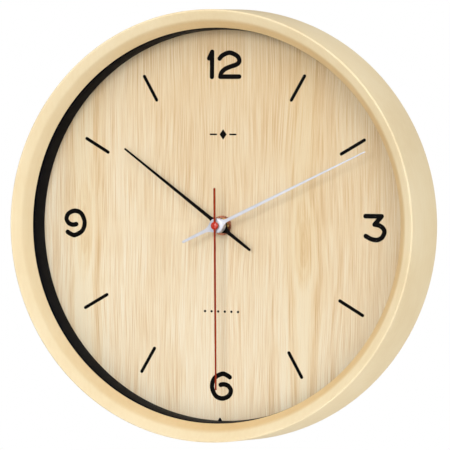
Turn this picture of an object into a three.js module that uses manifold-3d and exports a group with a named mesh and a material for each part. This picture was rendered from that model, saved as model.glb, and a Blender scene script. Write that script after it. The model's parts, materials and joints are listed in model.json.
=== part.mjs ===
// Round battery wall clock: a pale wooden case, a glass, a printed dial and a quartz movement
// with its whole gear train. Millimetres, X to the right, Z up, and the dial faces -Y.
// Every piece is modelled about the dial's centre, with y = 0 on the dial's face. The finished
// group is then shifted so that the wall hook, at the top of the keyhole, is the origin.
import * as THREE from 'three';
import { mergeVertices } from 'three/addons/utils/BufferGeometryUtils.js';
import Module from 'manifold-3d';

const wasm = await Module();
wasm.setup();

// ---- Driving dimensions ----
const GAP = 0.3; // left between pieces that touch

// Corners of the case's profile as [radius, y], and how far each is rounded.
const CASE = {
  lipRear: [135.5, -18.2], lipFront: [135.5, -18.7], // inner edge that holds the glass
  shoulder: [140.6, -25.8], shoulderRounding: 8, // where the steep inner slope meets the front face
  crest: [147.5, -31], crestRounding: 1.5, // outer front edge
  back: [150, 19], backRounding: 2.4, // outer back edge, which lies on the wall
};
const BACK_Y = CASE.back[1];
const CASE_BORE = 138.5; // inside the case, round glass, spacer and dial
const REBATE_RADIUS = 144.5; // wider recess behind, for the back plate
const SHOULDER_Y = 2; // where the back plate's screws go in

const GLASS_THICKNESS = 1.7;
const DIAL_THICKNESS = 2;
const SPACER_BORE = { front: 135.2, rear: 134.9 };
const POINTER = { half: 2, height: 2, thickness: 1.5 }; // small triangle at 6 o'clock
const BACK_PLATE = { thickness: 2.5, windowGap: 0.6 };
const BACK_SCREWS = { count: 6, circle: 141.5, head: 2.6, shank: 1.2, length: 11 };

const BAR = { outer: 120, inner: 98.7, width: 2.1 }; // hour bars on the dial
const NUMERAL = { radius: 111.1, height: 20, stroke: 2.95 };
const PRINT_THICKNESS = 0.15;

const TIME_SHOWN = { hour: 306.2, minute: 64.4, second: 179 }; // hand angles, clockwise degrees
const HOUR_HAND = { y: -5.2, tip: 89, tail: 28.4, tipHalf: 0.55, rootHalf: 1.3, hub: 5.2 };
const MINUTE_HAND = { y: -12, tip: 119.4, tail: 27.6, tipHalf: 0.55, rootHalf: 1.3, hub: 5.15 };
const SECOND_HAND = { y: -14.3, tip: 113, tail: 25.8, tipHalf: 0.6, rootHalf: 0.75, hub: 2.75 };
const HAND_THICKNESS = 0.4;
const TUBES = {
  hourBore: 1.75, hour: 2.5, hourFront: -5.7, // carries the hour hand
  minuteBore: 0.75, minute: 1.5, minuteFront: -12.6, minuteRear: 10, // carries the minute hand
};

// Hanger: a wooden block hollowed for the wall screw's head, under a steel plate with a keyhole.
const HANGER = {
  half: 24, bottom: 103, top: 133, blockRear: 15.4, plate: 1.2, plateInset: 2,
  entryZ: 112, entryRadius: 5, slotZ: 122, slotHalf: 2.4,
  pocketEntry: 7, pocketSlot: 6, pocketDepth: 8.5,
};
const HANGER_SCREW = { head: 2.2, shank: 1.1, hole: 1.5, length: 8, fromEnd: 6, aboveEntry: 6 };
const HOOK = { z: HANGER.slotZ, y: HANGER.blockRear + GAP + HANGER.plate }; // where the wall screw ends up

const MOVEMENT = { left: -28, right: 28, bottom: -34, top: 22, front: 3.4, rear: 18.6, wall: 1 };
const COVER_FRONT = 17.5;
const BAY_TOP = -17.3; // battery bay: from the movement's floor up to here
const BUSHING = { bore: 2.75, radius: 4, front: -3, flange: 1.2, flangeThickness: 0.5 };
const NUT = { corner: 5.8, front: -2.7, rear: -1.2 };
const NUT_WASHER = { radius: 6.8, thickness: 0.6 };
const RUBBER_WASHER_RADIUS = 9;
const KNOB = { radius: 5.4, notch: 0.5, ribs: 9, thickness: 2.2, shaft: 1 };
const WELL = { radius: 6.2, floor: 15.4, wall: 0.8 }; // the cover's cup around the knob

const BATTERY = { radius: 7.1, length: 49.2, right: 25, edge: 0.6, nub: 1.2, nubRadius: 2.7 };
const CONTACT = { front: 12.4, rear: 16.7, thickness: 0.4, x: 26.5, foot: 3.4, padHalf: 5, padDepth: 4 };
const SPRING = { turns: 2, wide: 5, narrow: 2, wire: 0.3, endGap: 0.6 };
const BOARD = { half: 25.6, bottom: 15, top: 20.6 };
const CHIP = { x: -8, z: 17.8, radius: 2.4 };
const CRYSTAL = { left: -23, right: -17, z: 17.8, radius: 1 };

const COIL = { x: 21.8, y: 10.4, bottom: 6, top: 18.8, flange: 3.4, barrel: 1.9, cheek: 0.8 };
const CORE = { halfX: 1, halfY: 0.5, bottom: 4.4, top: 20.4, slack: 0.15 };
const MAGNET = { radius: 2.3, front: 8, rear: 10.4 };
const STATOR = { thickness: 0.8, arm: 1.4, rim: 0.6 };
const AIR_GAP = 0.6;

const TEETH = {
  rotorPinion: 8, intermediateWheel: 40, intermediatePinion: 8, secondWheel: 48,
  secondPinion: 8, thirdWheel: 60, thirdPinion: 8, centreWheel: 64,
  cannonPinion: 10, minuteWorksWheel: 30, minuteWorksPinion: 8, hourWheel: 32, settingPinion: 10,
};
const ARBOR_RADIUS = 0.5;
const SETTING_ARBOR = { pivot: 0.7, bore: 0.85, boss: 1.8 };
const POST = { radius: 0.8, bore: 0.95 }; // the minute works turns on it
const PIVOT = { front: 5, rear: 17, bore: 0.62, boss: 1.5 }; // ends of the arbors, and their bearings
const BOSS_END = { floor: 6.3, cover: 15.8 }; // how far the bearing bosses reach inwards

// Depths of the wheels and pinions, front to back.
const LEVEL = {
  hour: [5.4, 6.6], minuteWorks: [7.1, 8.3], centre: [8.8, 9.4], third: [10.4, 11.2],
  second: [12, 12.8], intermediate: [13.4, 14.2], board: [15.2, 16],
  thirdPinion: [8.6, 10.5], secondPinion: [10.3, 12.1], intermediatePinion: [11.8, 13.5],
  minuteWorksPinion: [5.4, 7.2], rotorPinion: [13.2, 14.4],
};

// ---- Directions and places in the plane of the dial ----
const RIGHT = 0; // angles here run from +X towards +Z
const DEGREE = Math.PI / 180;
const polar = ([x, z], distance, angle) =>
  [x + distance * Math.cos(angle), z + distance * Math.sin(angle)];

const CENTRE = [0, 0];
const MINUTE_WORKS_DISTANCE = 9;
const TRAIN_DISTANCE = 12.6;
const ROTOR_DISTANCE = 8.4;
const TO_SETTING = -35 * DEGREE;
const TO_THIRD = 160 * DEGREE;
const TO_INTERMEDIATE = 60 * DEGREE;
const TO_ROTOR = 10 * DEGREE;
const MINUTE_WORKS = polar(CENTRE, MINUTE_WORKS_DISTANCE, RIGHT);
const SETTING = polar(MINUTE_WORKS, MINUTE_WORKS_DISTANCE, TO_SETTING);
const THIRD = polar(CENTRE, TRAIN_DISTANCE, TO_THIRD);
const INTERMEDIATE = polar(CENTRE, TRAIN_DISTANCE, TO_INTERMEDIATE);
const ROTOR = polar(INTERMEDIATE, ROTOR_DISTANCE, TO_ROTOR);

// ---- Solids: closed geometries, joined and cut ----
const WELD = 1e-4;

function solidOf(geometry) {
  const bare = new THREE.BufferGeometry();
  bare.setAttribute('position', geometry.getAttribute('position'));
  bare.setIndex(geometry.index);
  const merged = mergeVertices(bare, WELD);
  const positions = merged.getAttribute('position').array;
  const corner = (i) => new THREE.Vector3().fromArray(positions, 3 * i);
  const triangles = [];
  let volume = 0;
  for (let i = 0; i < merged.index.count; i += 3) {
    const [a, b, c] = merged.index.array.slice(i, i + 3);
    if (a === b || b === c || c === a) continue;
    triangles.push([a, b, c]);
    volume += corner(a).dot(corner(b).cross(corner(c)));
  }
  const outward = volume > 0 ? triangles : triangles.map(([a, b, c]) => [a, c, b]);
  return new wasm.Manifold(new wasm.Mesh({
    numProp: 3,
    vertProperties: new Float32Array(positions),
    triVerts: new Uint32Array(outward.flat()),
  }));
}

function geometryOf(solid) {
  const { vertProperties, triVerts } = solid.getMesh();
  const geometry = new THREE.BufferGeometry();
  geometry.setAttribute('position', new THREE.BufferAttribute(vertProperties, 3));
  geometry.setIndex(new THREE.BufferAttribute(triVerts, 1));
  return geometry;
}

const join = (...geometries) =>
  geometryOf(geometries.map(solidOf).reduce((sum, next) => sum.add(next)));
const cut = (geometry, ...tools) =>
  geometryOf(tools.map(solidOf).reduce((rest, tool) => rest.subtract(tool), solidOf(geometry)));

// A box from its lowest to its highest corner.
function block([x0, y0, z0], [x1, y1, z1]) {
  const box = new THREE.BoxGeometry(x1 - x0, y1 - y0, z1 - z0);
  return box.translate((x0 + x1) / 2, (y0 + y1) / 2, (z0 + z1) / 2);
}

// A profile of [radius, y] points turned about Y, then moved to a place in the dial's plane.
function turned(profile, segments, [x, z] = CENTRE) {
  const points = profile.map(([r, y]) => new THREE.Vector2(r, y));
  return new THREE.LatheGeometry(points, segments).translate(x, 0, z);
}

const rod = (radius, front, rear, place = CENTRE, segments = 8) =>
  turned([[0, front], [radius, front], [radius, rear], [0, rear]], segments, place);

const tube = (bore, radius, front, rear, place = CENTRE, segments = 20) =>
  turned([[bore, front], [radius, front], [radius, rear], [bore, rear], [bore, front]], segments, place);

const shapeOf = (points) => new THREE.Shape(points.map(([x, z]) => new THREE.Vector2(x, z)));

// An outline in the dial's plane made into a plate from y = front to y = rear.
function plate(outline, front, rear, holes = []) {
  const shape = shapeOf(outline);
  shape.holes = holes.map(shapeOf);
  const flat = new THREE.ExtrudeGeometry(shape, { depth: rear - front, bevelEnabled: false });
  return flat.rotateX(Math.PI / 2).translate(0, rear, 0);
}

const ring = (radius, sides, place = CENTRE, start = 0) =>
  Array.from({ length: sides }, (_, i) => polar(place, radius, start + (2 * Math.PI * i) / sides));

const rectangle = (x0, z0, x1, z1) => [[x0, z0], [x1, z0], [x1, z1], [x0, z1]];

const clockwise = (geometry, degrees) => geometry.rotateY(degrees * DEGREE);

// ---- Case, glass, dial and back ----
// Points of the arc that rounds a corner between its two neighbours.
function rounded(before, corner, after, radius, steps) {
  const at = ([x, y]) => new THREE.Vector2(x, y);
  const [toBefore, toAfter] = [before, after].map((end) => at(end).sub(at(corner)).normalize());
  const half = toBefore.angleTo(toAfter) / 2;
  const inwards = toBefore.clone().add(toAfter).normalize();
  const middle = at(corner).addScaledVector(inwards, radius / Math.sin(half));
  const first = at(corner).addScaledVector(toBefore, radius / Math.tan(half)).sub(middle);
  const last = at(corner).addScaledVector(toAfter, radius / Math.tan(half)).sub(middle);
  const sweep = Math.sign(first.cross(last)) * first.angleTo(last);
  return Array.from({ length: steps + 1 }, (_, i) =>
    polar([middle.x, middle.y], radius, first.angle() + (sweep * i) / steps));
}

function caseRing() {
  const { lipRear, lipFront, shoulder, crest, back } = CASE;
  const profile = [
    [CASE_BORE, lipRear[1]],
    lipRear,
    lipFront,
    ...rounded(lipFront, shoulder, crest, CASE.shoulderRounding, 2),
    ...rounded(shoulder, crest, back, CASE.crestRounding, 5),
    ...rounded(crest, back, [REBATE_RADIUS, BACK_Y], CASE.backRounding, 2),
    [REBATE_RADIUS, BACK_Y],
    [REBATE_RADIUS, SHOULDER_Y],
    [CASE_BORE, SHOULDER_Y],
    [CASE_BORE, lipRear[1]],
  ];
  const pilot = BACK_SCREWS.shank + GAP;
  const depth = SHOULDER_Y - BACK_SCREWS.length;
  const pilots = screwPlaces().map((place) => rod(pilot, depth, SHOULDER_Y + 1, place, 6));
  return cut(turned(profile, 60), ...pilots);
}

const glassFront = CASE.lipRear[1] + GAP;
const glassRear = glassFront + GLASS_THICKNESS;
const frontGlass = () => rod(CASE_BORE - GAP, glassFront, glassRear, CENTRE, 48);

// The black ring between glass and dial, with a small pointer at 6 o'clock that locates the dial.
function spacerRing() {
  const [front, rear, outer] = [glassRear + GAP, -GAP, CASE_BORE - GAP];
  const bore = SPACER_BORE.rear;
  const wall = [[SPACER_BORE.front, front], [outer, front], [outer, rear], [bore, rear]];
  const tip = POINTER.height - bore;
  const triangle = [[-POINTER.half, -bore - 1], [POINTER.half, -bore - 1], [0, tip]];
  const pointer = plate(triangle, rear - POINTER.thickness, rear);
  return join(turned([...wall, wall[0]], 48), pointer);
}

// A pen stroke of even width along a line of points, with round ends.
function stroke(points, width) {
  const half = width / 2;
  const across = points.map((point, i) => {
    const [before, after] = [points[Math.max(i - 1, 0)], points[Math.min(i + 1, points.length - 1)]];
    return Math.atan2(after[1] - before[1], after[0] - before[0]) + Math.PI / 2;
  });
  const cap = (point, angle) =>
    Array.from({ length: 5 }, (_, i) => polar(point, half, angle - (i * Math.PI) / 4));
  const last = points.length - 1;
  return [
    ...points.slice(1, last).map((point, i) => polar(point, half, across[i + 1])),
    ...cap(points[last], across[last]),
    ...points.slice(1, last).map((point, i) => polar(point, half, across[i + 1] + Math.PI)).reverse(),
    ...cap(points[0], across[0] + Math.PI),
  ];
}

const curve = (points, steps) =>
  new THREE.CatmullRomCurve3(points.map(([x, z]) => new THREE.Vector3(x, 0, z)))
    .getPoints(steps).map(({ x, z }) => [x, z]);

// Numerals are drawn in a box one unit high, with the baseline at 0, and then sized and placed.
const DIGITS = {
  one: { width: 0.39, lines: [[[0.18, 0.93], [0.18, 0.07]], [[0.07, 0.71], [0.18, 0.93]]] },
  two: {
    width: 0.88,
    lines: [
      curve([
        [0.07, 0.7], [0.18, 0.81], [0.43, 0.9], [0.7, 0.8], [0.8, 0.64], [0.73, 0.51],
        [0.46, 0.415], [0.27, 0.335], [0.14, 0.21], [0.1, 0.075],
      ], 13),
      [[0.1, 0.075], [0.8, 0.075]],
    ],
  },
  three: {
    width: 0.83,
    lines: [
      [[0.075, 0.9], [0.65, 0.9]],
      [[0.65, 0.9], [0.4, 0.62]],
      curve([
        [0.4, 0.62], [0.56, 0.59], [0.69, 0.51], [0.755, 0.385], [0.7, 0.225], [0.61, 0.14],
        [0.47, 0.095], [0.275, 0.13], [0.09, 0.225],
      ], 12),
    ],
  },
  nine: {
    width: 0.85,
    lines: [curve([
      [0.455, 0.455], [0.325, 0.435], [0.165, 0.49], [0.075, 0.645], [0.155, 0.83], [0.4, 0.925],
      [0.645, 0.83], [0.775, 0.53], [0.685, 0.23], [0.415, 0.075], [0.25, 0.105], [0.12, 0.18],
    ], 16)],
  },
};

function numeral(digits, [x, z], halfTurn = false) {
  const size = NUMERAL.height;
  const facing = halfTurn ? -1 : 1;
  let left = -digits.reduce((sum, digit) => sum + DIGITS[digit].width, 0) / 2;
  return digits.flatMap((digit) => {
    const { width, lines } = DIGITS[digit];
    const start = left;
    const place = ([u, v]) => [x + facing * (start + u) * size, z + facing * (v - 0.5) * size];
    left += width;
    return lines.map((points) => plate(stroke(points.map(place), NUMERAL.stroke), -PRINT_THICKNESS, 1));
  });
}

function hourBars() {
  const hours = [1, 2, 4, 5, 7, 8, 10, 11];
  const half = BAR.width / 2;
  const line = stroke([[0, BAR.inner + half], [0, BAR.outer - half]], BAR.width);
  return hours.map((hour) => clockwise(plate(line, -PRINT_THICKNESS, 1), hour * 30));
}

// The dial board with its printed hour bars and numerals, which stand a hair proud of it.
function dial() {
  const { radius } = NUMERAL;
  const board = plate(ring(CASE_BORE - GAP, 48), 0, DIAL_THICKNESS, [ring(BUSHING.radius + GAP, 20)]);
  const numerals = [
    ...numeral(['one', 'two'], [0, radius]),
    ...numeral(['three'], [radius, 0]),
    ...numeral(['nine'], [0, -radius], true),
    ...numeral(['nine'], [-radius, 0]),
  ];
  return join(board, ...numerals, ...hourBars());
}

const screwPlaces = () => ring(BACK_SCREWS.circle, BACK_SCREWS.count);
const backPlateFront = SHOULDER_Y + GAP;
const backPlateRear = backPlateFront + BACK_PLATE.thickness;

function backPlate() {
  const { left, right, bottom, top } = MOVEMENT;
  const gap = BACK_PLATE.windowGap;
  const window = rectangle(left - gap, bottom - gap, right + gap, top + gap);
  const holes = screwPlaces().map((place) => ring(BACK_SCREWS.shank + GAP, 6, place));
  return plate(ring(REBATE_RADIUS - GAP, 48), backPlateFront, backPlateRear, [window, ...holes]);
}

// A round-headed screw with its head on a surface at y = seat, driven towards -Y.
function screw(place, seat, head, shank, length) {
  const under = seat + GAP;
  return turned([
    [0, under - length], [shank, under + shank - length], [shank, under], [head, under],
    [head, under + head * 0.25], [head * 0.6, under + head * 0.6], [0, under + head * 0.7],
  ], 10, place);
}

// ---- Hanger ----
// A keyhole: a round entry below and a slot with a round top above.
function keyway(entryRadius, slotRadius) {
  const around = (z, radius, first, count) =>
    Array.from({ length: count }, (_, i) => polar([0, z], radius, (first + i * 30) * DEGREE));
  return [...around(HANGER.entryZ, entryRadius, 150, 9), ...around(HANGER.slotZ, slotRadius, 0, 7)];
}

const hangerScrewPlaces = () => [-1, 1].map((side) =>
  [side * (HANGER.half - HANGER_SCREW.fromEnd), HANGER.entryZ + HANGER_SCREW.aboveEntry]);

// Wooden block glued to the back plate, hollowed behind the keyhole for the wall screw's head.
function hangerBlock() {
  const { half, bottom, top, blockRear, pocketEntry, pocketSlot, pocketDepth } = HANGER;
  const pocket = plate(keyway(pocketEntry, pocketSlot), blockRear - pocketDepth, blockRear + 1);
  const pilots = hangerScrewPlaces().map((place) =>
    rod(HANGER_SCREW.hole, blockRear - HANGER_SCREW.length, blockRear + 1, place));
  return cut(block([-half, backPlateRear + GAP, bottom], [half, blockRear, top]), pocket, ...pilots);
}

function hangerPlate() {
  const { half, bottom, top, plateInset, entryRadius, slotHalf } = HANGER;
  const holes = hangerScrewPlaces().map((place) => ring(HANGER_SCREW.hole, 8, place));
  const outline = rectangle(plateInset - half, bottom + plateInset, half - plateInset, top - plateInset);
  return plate(outline, HOOK.y - HANGER.plate, HOOK.y, [keyway(entryRadius, slotHalf), ...holes]);
}

// ---- Movement housing ----
const floorRear = MOVEMENT.front + MOVEMENT.wall;
const inFloor = floorRear - 0.5; // where pieces moulded onto the floor start
const inCover = COVER_FRONT + 0.4; // and onto the cover

function movementCase() {
  const { left, right, bottom, top, front, wall } = MOVEMENT;
  const rear = COVER_FRONT - GAP;
  const inside = block([left + wall, floorRear, bottom + wall], [right - wall, rear + 1, top - wall]);
  const bushingHole = rod(BUSHING.radius + GAP, front - 1, floorRear + 1, CENTRE, 20);
  const shell = cut(block([left, front, bottom], [right, rear, top]), inside, bushingHole);
  const bayWall = block([left + 2 * wall, inFloor, BAY_TOP], [right - 2 * wall, rear, BAY_TOP + wall]);
  const bosses = [THIRD, INTERMEDIATE, ROTOR].map((place) =>
    tube(PIVOT.bore, PIVOT.boss, inFloor, BOSS_END.floor, place, 10));
  const settingBoss = tube(SETTING_ARBOR.bore, SETTING_ARBOR.boss, inFloor, BOSS_END.floor, SETTING, 10);
  const post = rod(POST.radius, inFloor, LEVEL.minuteWorks[1] + 0.2, MINUTE_WORKS, 10);
  return join(shell, bayWall, ...bosses, settingBoss, post);
}

// The cover over the train, with bearing bosses inside and a round well for the setting knob.
function movementCover() {
  const { left, right, top, rear } = MOVEMENT;
  const sheet = cut(
    block([left, COVER_FRONT, BAY_TOP], [right, rear, top]),
    rod(WELL.radius, COVER_FRONT - 1, rear + 1, SETTING, 20));
  const shaftHole = KNOB.shaft + 0.2;
  const [inner, outer] = [WELL.radius - 0.1, WELL.radius + WELL.wall];
  const { floor } = WELL;
  const cup = turned([
    [shaftHole, floor], [outer, floor], [outer, rear], [inner, rear],
    [inner, floor + WELL.wall], [shaftHole, floor + WELL.wall], [shaftHole, floor],
  ], 20, SETTING);
  const bosses = [CENTRE, THIRD, INTERMEDIATE, ROTOR].map((place) =>
    tube(PIVOT.bore, PIVOT.boss, BOSS_END.cover, inCover, place, 10));
  return join(sheet, cup, ...bosses);
}

function threadedBushing() {
  const { bore, radius, front } = BUSHING;
  const flange = radius + BUSHING.flange;
  const seat = floorRear + 0.2;
  const rear = seat + BUSHING.flangeThickness;
  return turned([
    [bore, front], [radius, front], [radius, seat], [flange, seat],
    [flange, rear], [bore, rear], [bore, front],
  ], 20);
}

const rubberWasher = () =>
  tube(BUSHING.radius + 0.4, RUBBER_WASHER_RADIUS, DIAL_THICKNESS + GAP, MOVEMENT.front - GAP);
const nutWasher = () =>
  tube(BUSHING.radius + GAP, NUT_WASHER.radius, -GAP - NUT_WASHER.thickness, -GAP);
const fixingNut = () => plate(ring(NUT.corner, 6), NUT.front, NUT.rear, [ring(BUSHING.radius + GAP, 20)]);

// ---- Battery and electrics ----
const bayMiddle = (MOVEMENT.bottom + MOVEMENT.wall + BAY_TOP) / 2;
const batteryY = MOVEMENT.rear - BATTERY.radius + 0.1;

// A profile of [radius, x] points turned about a line along X.
const alongX = (profile, segments, y, z) =>
  turned(profile, segments).rotateZ(-Math.PI / 2).translate(0, y, z);

// The can and its positive nub, lying along X.
function battery() {
  const { radius, length, right, edge, nub, nubRadius } = BATTERY;
  const left = right - length;
  const profile = [
    [0, left], [radius - edge, left], [radius, left + edge], [radius, right - edge],
    [radius - edge, right], [nubRadius, right], [nubRadius, right + nub], [0, right + nub],
  ];
  return alongX(profile, 24, batteryY, bayMiddle);
}

// A spring-steel strip up the inside of a side wall, from the battery to a foot behind the board.
function contactStrip(side) {
  const { front, rear, thickness, x, foot, padHalf, padDepth } = CONTACT;
  const [low, high] = [bayMiddle - padHalf, BOARD.top - 1];
  const outer = x + thickness;
  const contact = join(
    block([x, front, low], [outer, rear, high]),
    block([x - foot, rear - thickness, BOARD.bottom + 1], [outer, rear, high]),
    block([x, batteryY - padDepth, low], [outer, rear, bayMiddle + padHalf]));
  return side > 0 ? contact : contact.scale(-1, 1, 1);
}

// The cone-shaped spring that presses the battery's flat end.
function batterySpring() {
  const { turns, wide, narrow, wire, endGap } = SPRING;
  const steps = turns * 10;
  const start = endGap - CONTACT.x;
  const end = BATTERY.right - BATTERY.length - endGap;
  const points = Array.from({ length: steps + 1 }, (_, i) => {
    const share = i / steps;
    const radius = wide + (narrow - wide) * share;
    const [y, z] = polar([batteryY, bayMiddle], radius, 2 * Math.PI * turns * share);
    return new THREE.Vector3(start + (end - start) * share, y, z);
  });
  const extrudePath = new THREE.CatmullRomCurve3(points);
  return new THREE.ExtrudeGeometry(shapeOf(ring(wire, 6)), { steps, extrudePath, bevelEnabled: false });
}

const circuitBoard = () =>
  plate(rectangle(-BOARD.half, BOARD.bottom, BOARD.half, BOARD.top), ...LEVEL.board);

// The blob of resin over the bare chip, on the front of the board.
function icChip() {
  const rear = LEVEL.board[0] - GAP;
  const { radius } = CHIP;
  return turned([
    [0, rear - 1], [radius * 0.6, rear - 0.8], [radius * 0.9, rear - 0.4], [radius, rear], [0, rear],
  ], 16, [CHIP.x, CHIP.z]);
}

// A tuning-fork crystal in its can, lying along the board.
function quartzCrystal() {
  const { left, right, radius } = CRYSTAL;
  const edge = radius * 0.2;
  const can = [[0, left], [radius - edge, left], [radius, left + edge], [radius, right], [0, right]];
  return alongX(can, 12, LEVEL.board[0] - radius - GAP, CRYSTAL.z);
}

// ---- Stepping motor ----
// A profile of [radius, height] points turned about the coil's upright axis.
const aboutCoil = (profile, segments) =>
  turned(profile, segments).rotateX(Math.PI / 2).translate(COIL.x, COIL.y, 0);

// A block around the coil's axis, as wide each way as the core and some slack.
const coreBlock = (slack, bottom, top) => block(
  [COIL.x - CORE.halfX - slack, COIL.y - CORE.halfY - slack, bottom],
  [COIL.x + CORE.halfX + slack, COIL.y + CORE.halfY + slack, top]);

function coilBobbin() {
  const { bottom, top, flange, barrel, cheek } = COIL;
  const spool = aboutCoil([
    [0, bottom], [flange, bottom], [flange, bottom + cheek], [barrel, bottom + cheek],
    [barrel, top - cheek], [flange, top - cheek], [flange, top], [0, top],
  ], 20);
  return cut(spool, coreBlock(CORE.slack, bottom - 1, top + 1));
}

function coilWinding() {
  const [low, high] = [COIL.bottom + COIL.cheek + GAP, COIL.top - COIL.cheek - GAP];
  const [inner, outer] = [COIL.barrel + 0.2, COIL.flange - 0.4];
  return aboutCoil([[inner, low], [outer, low], [outer, high], [inner, high], [inner, low]], 20);
}

const coilCore = () => coreBlock(0, CORE.bottom, CORE.top);

// A C-shaped lamination: the rotor turns in its hole, and the coil's core bridges its arms.
function statorPlate() {
  const rear = COIL.y - CORE.halfY - GAP;
  const hole = MAGNET.radius + AIR_GAP;
  const half = hole + STATOR.rim;
  const [left, throat, right] = [ROTOR[0] - half, ROTOR[0] + half, COIL.x + CORE.halfX];
  const { bottom, top } = CORE;
  const { arm, thickness } = STATOR;
  const outline = [
    [left, bottom], [right, bottom], [right, bottom + arm], [throat, bottom + arm],
    [throat, top - arm], [right, top - arm], [right, top], [left, top],
  ];
  return plate(outline, rear - thickness, rear, [ring(hole, 24, ROTOR)]);
}

// ---- Gear train ----
const ADDENDUM = 0.8; // in modules
const DEDENDUM = 1.2;
const ROOT_HALF = 0.29; // half widths of a tooth, as shares of the pitch
const TIP_HALF = 0.12;

// The module that makes two tooth counts mesh at a centre distance.
const moduleFor = (distance, teethA, teethB) => (2 * distance) / (teethA + teethB);

// The angle of one tooth on gear B, so that it meshes with gear A, which has a tooth at angle 0.
function meshPhase(angleToB, teethA, teethB) {
  const pitchA = (2 * Math.PI) / teethA;
  const pitchB = (2 * Math.PI) / teethB;
  const shareA = angleToB / pitchA;
  return angleToB + Math.PI - (0.5 - shareA) * pitchB;
}

function toothed(teeth, module, phase, place) {
  const pitch = (2 * Math.PI) / teeth;
  const root = module * (teeth / 2 - DEDENDUM);
  const tip = module * (teeth / 2 + ADDENDUM);
  return Array.from({ length: teeth }, (_, i) => phase + i * pitch).flatMap((angle) => [
    polar(place, root, angle - ROOT_HALF * pitch),
    polar(place, tip, angle - TIP_HALF * pitch),
    polar(place, tip, angle + TIP_HALF * pitch),
    polar(place, root, angle + ROOT_HALF * pitch),
  ]);
}

const MODULE = {
  hour: moduleFor(MINUTE_WORKS_DISTANCE, TEETH.hourWheel, TEETH.minuteWorksPinion),
  minuteWorks: moduleFor(MINUTE_WORKS_DISTANCE, TEETH.minuteWorksWheel, TEETH.cannonPinion),
  centre: moduleFor(TRAIN_DISTANCE, TEETH.centreWheel, TEETH.thirdPinion),
  third: moduleFor(TRAIN_DISTANCE, TEETH.thirdWheel, TEETH.secondPinion),
  second: moduleFor(TRAIN_DISTANCE, TEETH.secondWheel, TEETH.intermediatePinion),
  intermediate: moduleFor(ROTOR_DISTANCE, TEETH.intermediateWheel, TEETH.rotorPinion),
};

// A gear's teeth as a plate, with round holes through it.
const gear = ({ teeth, module, phase = 0, level: [front, rear] }, place, holes = []) =>
  plate(toothed(teeth, module, phase, place), front, rear, holes);

function rotorPinion() {
  const phase = meshPhase(TO_ROTOR, TEETH.intermediateWheel, TEETH.rotorPinion);
  const teeth = gear(
    { teeth: TEETH.rotorPinion, module: MODULE.intermediate, phase, level: LEVEL.rotorPinion }, ROTOR);
  return join(teeth, rod(ARBOR_RADIUS, PIVOT.front, PIVOT.rear, ROTOR));
}

const rotorMagnet = () =>
  tube(ARBOR_RADIUS + 0.1, MAGNET.radius, MAGNET.front, MAGNET.rear, ROTOR, 20);

// A wheel and its pinion on one arbor. Each wheel has a tooth at angle 0, and its pinion is
// turned to mesh with the next wheel.
const compound = (place, wheel, pinion, front = PIVOT.front) =>
  join(gear(wheel, place), gear(pinion, place), rod(ARBOR_RADIUS, front, PIVOT.rear, place));

const intermediateWheel = () => compound(
  INTERMEDIATE,
  { teeth: TEETH.intermediateWheel, module: MODULE.intermediate, level: LEVEL.intermediate },
  {
    teeth: TEETH.intermediatePinion, module: MODULE.second, level: LEVEL.intermediatePinion,
    phase: meshPhase(TO_INTERMEDIATE, TEETH.secondWheel, TEETH.intermediatePinion),
  });

const secondArborFront = SECOND_HAND.y - 0.4;
const secondWheel = () => compound(
  CENTRE,
  { teeth: TEETH.secondWheel, module: MODULE.second, level: LEVEL.second },
  {
    teeth: TEETH.secondPinion, module: MODULE.third, level: LEVEL.secondPinion,
    phase: meshPhase(TO_THIRD + Math.PI, TEETH.thirdWheel, TEETH.secondPinion),
  },
  secondArborFront);

const thirdWheel = () => compound(
  THIRD,
  { teeth: TEETH.thirdWheel, module: MODULE.third, level: LEVEL.third },
  {
    teeth: TEETH.thirdPinion, module: MODULE.centre, level: LEVEL.thirdPinion,
    phase: meshPhase(TO_THIRD, TEETH.centreWheel, TEETH.thirdPinion),
  });

const centreWheel = () => gear(
  { teeth: TEETH.centreWheel, module: MODULE.centre, level: LEVEL.centre },
  CENTRE, [ring(TUBES.minute + 0.2, 20)]);

// The dished washer that lets the hands be set without turning the train.
function clutchSpring() {
  const bore = TUBES.minute + 0.15;
  const rear = TUBES.minuteRear;
  return turned([
    [bore, rear - 0.2], [4, rear - 0.45], [4, rear - 0.25], [bore, rear], [bore, rear - 0.2],
  ], 20);
}

function cannonPinion() {
  const phase = meshPhase(RIGHT + Math.PI, TEETH.minuteWorksWheel, TEETH.cannonPinion);
  const teeth = gear(
    { teeth: TEETH.cannonPinion, module: MODULE.minuteWorks, phase, level: LEVEL.minuteWorks },
    CENTRE, [ring(TUBES.minuteBore + 0.3, 12)]);
  return join(teeth, tube(TUBES.minuteBore, TUBES.minute, TUBES.minuteFront, TUBES.minuteRear));
}

// Wheel and pinion in one, turning on the post of the movement's floor.
function minuteWorksWheel() {
  const bore = [ring(POST.bore, 12, MINUTE_WORKS)];
  const wheel = { teeth: TEETH.minuteWorksWheel, module: MODULE.minuteWorks, level: LEVEL.minuteWorks };
  const pinion = {
    teeth: TEETH.minuteWorksPinion, module: MODULE.hour, level: LEVEL.minuteWorksPinion,
    phase: meshPhase(RIGHT, TEETH.hourWheel, TEETH.minuteWorksPinion),
  };
  return join(gear(wheel, MINUTE_WORKS, bore), gear(pinion, MINUTE_WORKS, bore));
}

function hourWheel() {
  const teeth = gear(
    { teeth: TEETH.hourWheel, module: MODULE.hour, level: LEVEL.hour },
    CENTRE, [ring(TUBES.hourBore + 0.3, 12)]);
  return join(teeth, tube(TUBES.hourBore, TUBES.hour, TUBES.hourFront, LEVEL.hour[1]));
}

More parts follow.
